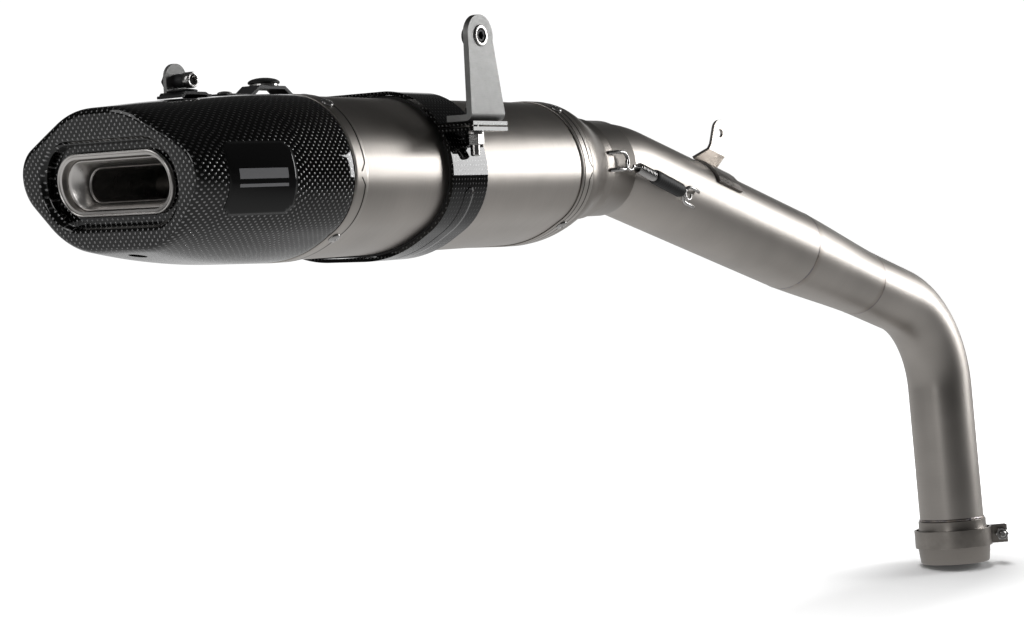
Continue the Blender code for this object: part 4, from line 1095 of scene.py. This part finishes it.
def make_link_pipe():
    heading = link_direction()
    first = pipe_bend(LINK_START, LINK_BEND, LINK_ELBOW, LINK_BEND_RADIUS, 16)
    straight = [(link_point(30.0 + (CONE_FROM - GAP / 2 - 30.0) * k / 8), heading) for k in range(1, 9)]
    front = [(LINK_START, X_AXIS)] + first + straight
    pipe("link_pipe_front_sheet", front, [MAIN_RADIUS] * len(front), "pipe", "link_pipe_front")
    cone, radii = [], []
    for k in range(17):
        t = k / 16
        ease = t * t * (3 - 2 * t)
        cone.append((link_point(CONE_FROM + GAP / 2 + (CONE_TO - CONE_FROM - GAP) * t), heading))
        radii.append(MAIN_RADIUS + (DOWN_RADIUS - MAIN_RADIUS) * (0.6 * t + 0.4 * ease))
    pipe("link_pipe_cone_sheet", cone, radii, "cone", "link_pipe_cone")
    second = pipe_bend(LINK_BEND, LINK_ELBOW, LINK_MOUTH, LINK_ELBOW_RADIUS, 40)
    lower_end = LINK_MOUTH + DOWN_PIPE * (COLLAR_LENGTH - 12.0)
    elbow = [(link_point(CONE_TO + GAP / 2), heading)] + second
    last = second[-1][0]
    elbow += [(last.lerp(lower_end, k / 8), -DOWN_PIPE) for k in range(1, 9)]
    pipe("link_pipe_elbow_sheet", elbow, [DOWN_RADIUS] * len(elbow), "pipe", "link_pipe_elbow")


def make_bead(name, centre, axis, radius, body, width, height):
    """A weld bead round a pipe, with the ripples of a steady hand."""
    side, rise = facing(axis)
    count = 300
    ripples = round(math.tau * radius / 1.7)
    rings = []
    for k in range(9):
        across = -1.0 + k / 4
        ring = []
        for i in range(count):
            angle = math.tau * i / count
            wave = math.sin(ripples * angle + 2.2 * across * across)
            reach = radius + height * (1.0 - across * across) * (0.85 + 0.22 * wave) - 0.12
            spoke = side * math.sin(angle) + rise * math.cos(angle)
            ring.append(centre + axis * (width * across * (1.0 + 0.05 * wave)) + spoke * reach)
        rings.append(ring)
    for offset in (0.9, -0.9):
        rings.append([centre + axis * (width * offset) + (side * math.sin(math.tau * i / count)
                      + rise * math.cos(math.tau * i / count)) * (radius - 0.3) for i in range(count)])
    skin(name, rings, "weld", body=body, closed=True)


def make_welds():
    heading = link_direction()
    make_bead("weld_cone_front", link_point(CONE_FROM), heading, MAIN_RADIUS, "root", 1.2, 0.28)
    make_bead("weld_cone_rear", link_point(CONE_TO), heading, DOWN_RADIUS, "root", 1.2, 0.28)
    neck = SILENCER + Vector((NECK_END + 0.6, *STUB_AXIS))
    make_bead("weld_neck", neck, X_AXIS, STUB_RADIUS + 0.3, "silencer", 1.2, 0.9)
    make_bead("weld_collar", DOWN_PIPE * (COLLAR_LENGTH + 0.6), DOWN_PIPE, DOWN_RADIUS, "root", 1.4, 0.8)


def make_collar():
    """The inlet socket: a rounded shoulder, a flat for the clamp and a taper to the mouth."""
    top, middle, mouth = COLLAR_RADII
    bore = DOWN_RADIUS + GAP
    profile = ((mouth - 0.5, 0.0), (mouth - 0.1, 0.25), (mouth + 0.1, 0.8), (middle - 0.15, 15.0),
               (middle, 16.0), (middle, 22.0), (middle - 0.3, 23.2), (middle - 1.4, 26.5), (top + 0.3, 31.0),
               (top, 34.0), (top, 37.4), (top - 0.5, COLLAR_LENGTH))
    inner = ((bore - 0.3, 0.0), (bore - 0.3, 24.0), (bore, 24.2), (bore, COLLAR_LENGTH))
    tube("inlet_collar_ring", rounds(profile, PIPE_POINTS), rounds(inner, PIPE_POINTS), LINK_MOUTH, DOWN_PIPE,
         "inlet", "inlet_collar")


def make_clamp():
    """The open band round the collar, whose two ends turn outwards as lugs."""
    outward, up, across = clamp_frame()
    inside = COLLAR_RADII[1] + GAP
    outside = inside + CLAMP_SHEET
    split = CLAMP_SPLIT
    opening = math.asin(split / outside)
    arcs = []
    for radius in (inside, outside):
        angles = [opening + (math.tau - 2 * opening) * k / 120 for k in range(121)]
        arcs.append([Vector((math.cos(a), math.sin(a))) * radius for a in angles])
    reach = outside + LUG_REACH
    lug = split + CLAMP_SHEET
    outline = arcs[0] + [Vector((reach, -split)), Vector((reach, -lug)), Vector((outside + 0.5, -lug))]
    outline += arcs[1][::-1][1:-1]
    outline += [Vector((outside + 0.5, lug)), Vector((reach, lug)), Vector((reach, split))]
    rings = [[outward * p.x + across * p.y + up * level for p in outline] for level in CLAMP_SPAN]
    clamp = skin("collar_clamp_band", rings, "dark_titanium", "collar_clamp")
    drill(clamp, clamp_hole(), across, circle(3.3, 32), 20.0)
    soften(clamp, 0.4, 3, 50.0)


# ---------------------------------------------------------------- springs

def make_spring(name, side):
    """A close-wound tension spring with an open hook at each end, and its ribbed rubber sleeve."""
    rear, front = spring_ends(side)
    axis = (front - rear).normalized()
    length = (front - rear).length
    out = (Vector((rear.x, *(SILENCER + Vector((0.0, *STUB_AXIS))).yz)) - rear) * -1.0
    out = (out - axis * out.dot(axis)).normalized()
    wide = axis.cross(out)
    mean = SPRING_RADIUS - SPRING_WIRE

    def at(along, o, w):
        return rear + axis * along + out * o + wide * w

    path = []
    for k in range(15):
        angle = math.radians(200 - 200 * k / 14)
        path.append(at(7.5 - 4.6 * math.cos(angle - math.pi), 0.0, 4.6 * math.sin(angle)))
    path += [at(14.0, 0.0, 0.6), at(16.5, 0.6, 0.0)]
    turns = round((length - 31.0) / (2.05 * SPRING_WIRE))
    for k in range(turns * 14 + 1):
        angle = math.tau * k / 14
        along = 18.0 + (length - 31.0) * k / (turns * 14)
        path.append(at(along, mean * math.cos(angle), mean * math.sin(angle)))
    path += [at(length - 11.5, 0.6, 0.0), at(length - 10.0, 0.0, 0.6)]
    for k in range(15):
        angle = math.radians(200 * k / 14)
        path.append(at(length - 5.0 - 3.8 * math.cos(angle), 0.0, 3.8 * math.sin(angle)))
    node = f"spring_{name}"
    sweep(f"{node}_coil", path, SPRING_WIRE, "steel", node, points=10)
    outer = []
    low, high = 38.0, length - 15.0
    for k in range(45):
        t = k / 44
        edge = min(t, 1 - t) * 44
        lift = -0.7 if edge < 1 else (-0.15 if edge < 2 else 0.0)
        rib = 0.28 * math.sin(t * math.pi * 14) ** 2
        outer.append((SPRING_COVER_RADIUS + lift - rib, low + (high - low) * t))
    inner = [(SPRING_RADIUS + GAP, along) for along in (low, high)]
    cover = f"spring_sleeve_{name}"
    tube(f"{cover}_rubber", rounds(outer, 32), rounds(inner, 32), rear, axis, "rubber", cover)


def make_lug_loops(name, side):
    """The bent wire loops welded to the stub and the pipe, which the spring's hooks pull on."""
    rear, front = spring_ends(side)
    stub_centre = SILENCER + Vector((0.0, *STUB_AXIS))
    pipe_along = link_direction()
    spots = (("stub", rear, X_AXIS, Vector((rear.x, stub_centre.y, stub_centre.z)), STUB_RADIUS, 1.0),
             ("pipe", front, pipe_along, LINK_BEND + pipe_along * (front - LINK_BEND).dot(pipe_along),
              MAIN_RADIUS, -1.0))
    for where, end, along, centre, radius, sign in spots:
        spoke = (end - centre).normalized()
        wide = along.cross(spoke).normalized()
        foot = centre + spoke * (radius + 1.2)
        path = []
        for k in range(25):
            angle = math.radians(-90 + 180 * k / 24)
            bend = along * sign * (1.0 + 6.2 * math.cos(angle)) + wide * 6.2 * math.sin(angle)
            path.append(foot + bend + spoke * 3.6)
        legs = []
        for edge in (path[0], path[-1]):
            steps = ((5.0, 0.2), (10.0, 2.0), (13.0, 3.6))
            legs.append([edge - along * sign * away - spoke * drop for away, drop in steps])
        path = legs[0][::-1] + path + legs[1]
        sweep(f"{where}_loop_{name}", path, 1.4, "steel", f"{where}_lug_{name}")


# ---------------------------------------------------------------- CAD nodes that keep their shape

def finish_cad_nodes():
    for node, piece in frame["nodes"].items():
        if piece.hide_render:
            continue
        piece.data.materials.clear()
        piece.data.materials.append(FINISH[SLOT_OF[node]])
        soften(piece, 0.35, 3, 35.0)


# ---------------------------------------------------------------- stage, light and camera

def make_floor():
    mesh_data = bmesh.new()
    bmesh.ops.create_grid(mesh_data, x_segments=2, y_segments=2, size=9.0)
    floor = new_object("studio_floor", mesh_data)
    floor.location.z = FLOOR_HEIGHT
    finish = Finish("floor_paper", {"Roughness": 0.9, "Specular IOR Level": 0.0})
    seen = finish.add("LightPath").outputs["Is Camera Ray"]
    place = finish.add("SeparateXYZ", {0: finish.object_place()})
    glow = finish.span(place.outputs[1], -0.9, 0.15, *FLOOR_GLOW)
    from_foot = finish.add("VectorMath", {0: finish.object_place()}, operation="LENGTH").outputs["Value"]
    # The seen glow dips near the collar: painted shade round its foot, on top of the overhead lamp's real
    # contact shadow.
    seen_glow_shaded_at_foot = finish.span(from_foot, 0.03, 0.6, *FLOOR_SEEN)
    finish.shader.inputs["Emission Color"].default_value = grey(1.0)
    light = finish.add("Mix", {0: seen, 2: glow, 3: seen_glow_shaded_at_foot}, data_type="FLOAT").outputs[0]
    finish.drive("Emission Strength", light)
    finish.drive("Base Color", finish.mix(seen, grey(0.02), grey(0.82)))
    floor.data.materials.append(finish.material)


def make_world():
    """A white backdrop, which lights the object only from low behind it, and a dim room."""
    world = bpy.data.worlds.new("studio")
    bpy.context.scene.world = world
    world.use_nodes = True
    sky = Nodes(world.node_tree)
    background = sky.tree.nodes["Background"]
    x, y, z = sky.add("SeparateXYZ", {0: sky.add("TexCoord").outputs["Generated"]}).outputs
    towards = sky.plus(sky.times(x, 0.813), sky.times(y, 0.582))
    behind = sky.span(towards, 0.60, 0.93, curve="SMOOTHSTEP")
    low = sky.span(z, 0.13, 0.34, 1.0, 0.0, curve="SMOOTHSTEP")
    room = sky.plus(sky.times(behind, low), ROOM_GLOW)
    seen = sky.add("LightPath").outputs["Is Camera Ray"]
    sky.tree.links.new(sky.math("MAXIMUM", room, seen), background.inputs["Strength"])
    background.inputs["Color"].default_value = grey(1.0)


def make_light(name, at, target, size, power):
    data = bpy.data.lights.new(name, "AREA")
    data.shape = "RECTANGLE"
    data.size, data.size_y = size
    data.energy = power
    light = bpy.data.objects.new(name, data)
    light.location = at
    aim = Vector(target) - Vector(at)
    light.rotation_mode = "QUATERNION"
    light.rotation_quaternion = aim.to_track_quat("-Z", "Y")
    bpy.context.collection.objects.link(light)
    return light


def make_lights():
    middle = Vector((-0.62, 0.05, 0.36))
    azimuth = math.radians(-31.0)
    reach = 2.1
    at = middle + Vector((math.cos(azimuth), math.sin(azimuth), 0.0)) * reach + Vector((0.0, 0.0, 0.38))
    make_light("softbox_front", at, (middle.x, middle.y, at.z), (0.70, 1.0), 19.0)
    overhead = make_light("overhead", (0.0, 0.3, 1.9), (0.0, 0.0, 0.0), (0.9, 0.9), 36.0)
    overhead.visible_glossy = False
    make_light("rear_fill", (-2.4, -0.2, 0.65), (-0.88, 0.12, 0.36), (0.5, 0.5), 3.0)
    make_light("rear_strip", (-2.2, 1.1, 1.2), (-0.8, 0.1, 0.35), (0.5, 1.2), 4.0)


def make_camera():
    data = bpy.data.cameras.new("camera")
    data.lens = CAMERA_LENS
    data.sensor_width = 36.0
    data.clip_start = 0.05
    data.clip_end = 60.0
    camera = bpy.data.objects.new("camera", data)
    right = CAMERA_RIGHT.normalized()
    back = right.cross(CAMERA_UP).normalized()
    up = back.cross(right)
    turn = Matrix((right, up, back)).transposed().to_4x4()
    camera.matrix_world = Matrix.Translation(CAMERA_AT) @ turn
    bpy.context.collection.objects.link(camera)
    bpy.context.scene.camera = camera


def set_view():
    view = bpy.context.scene.view_settings
    view.view_transform = "Standard"
    view.look = "None"
    view.exposure = 0.0


# ---------------------------------------------------------------- all of it

make_sleeve()
make_band("rear_band", REAR_BAND)
make_band("front_band", FRONT_BAND)
make_end_cap()
make_decal()
make_outlet()
make_outlet_insert()
make_inlet_cap()
make_stub()
make_rivets()
make_strap()
make_hanger()
make_hardware()
make_buttons()
make_link_pipe()
make_welds()
make_collar()
make_clamp()
for side_name, side_sign in (("left", 1), ("right", -1)):
    make_spring(side_name, side_sign)
    make_lug_loops(side_name, side_sign)
finish_cad_nodes()
make_floor()
make_world()
make_lights()
make_camera()
set_view()
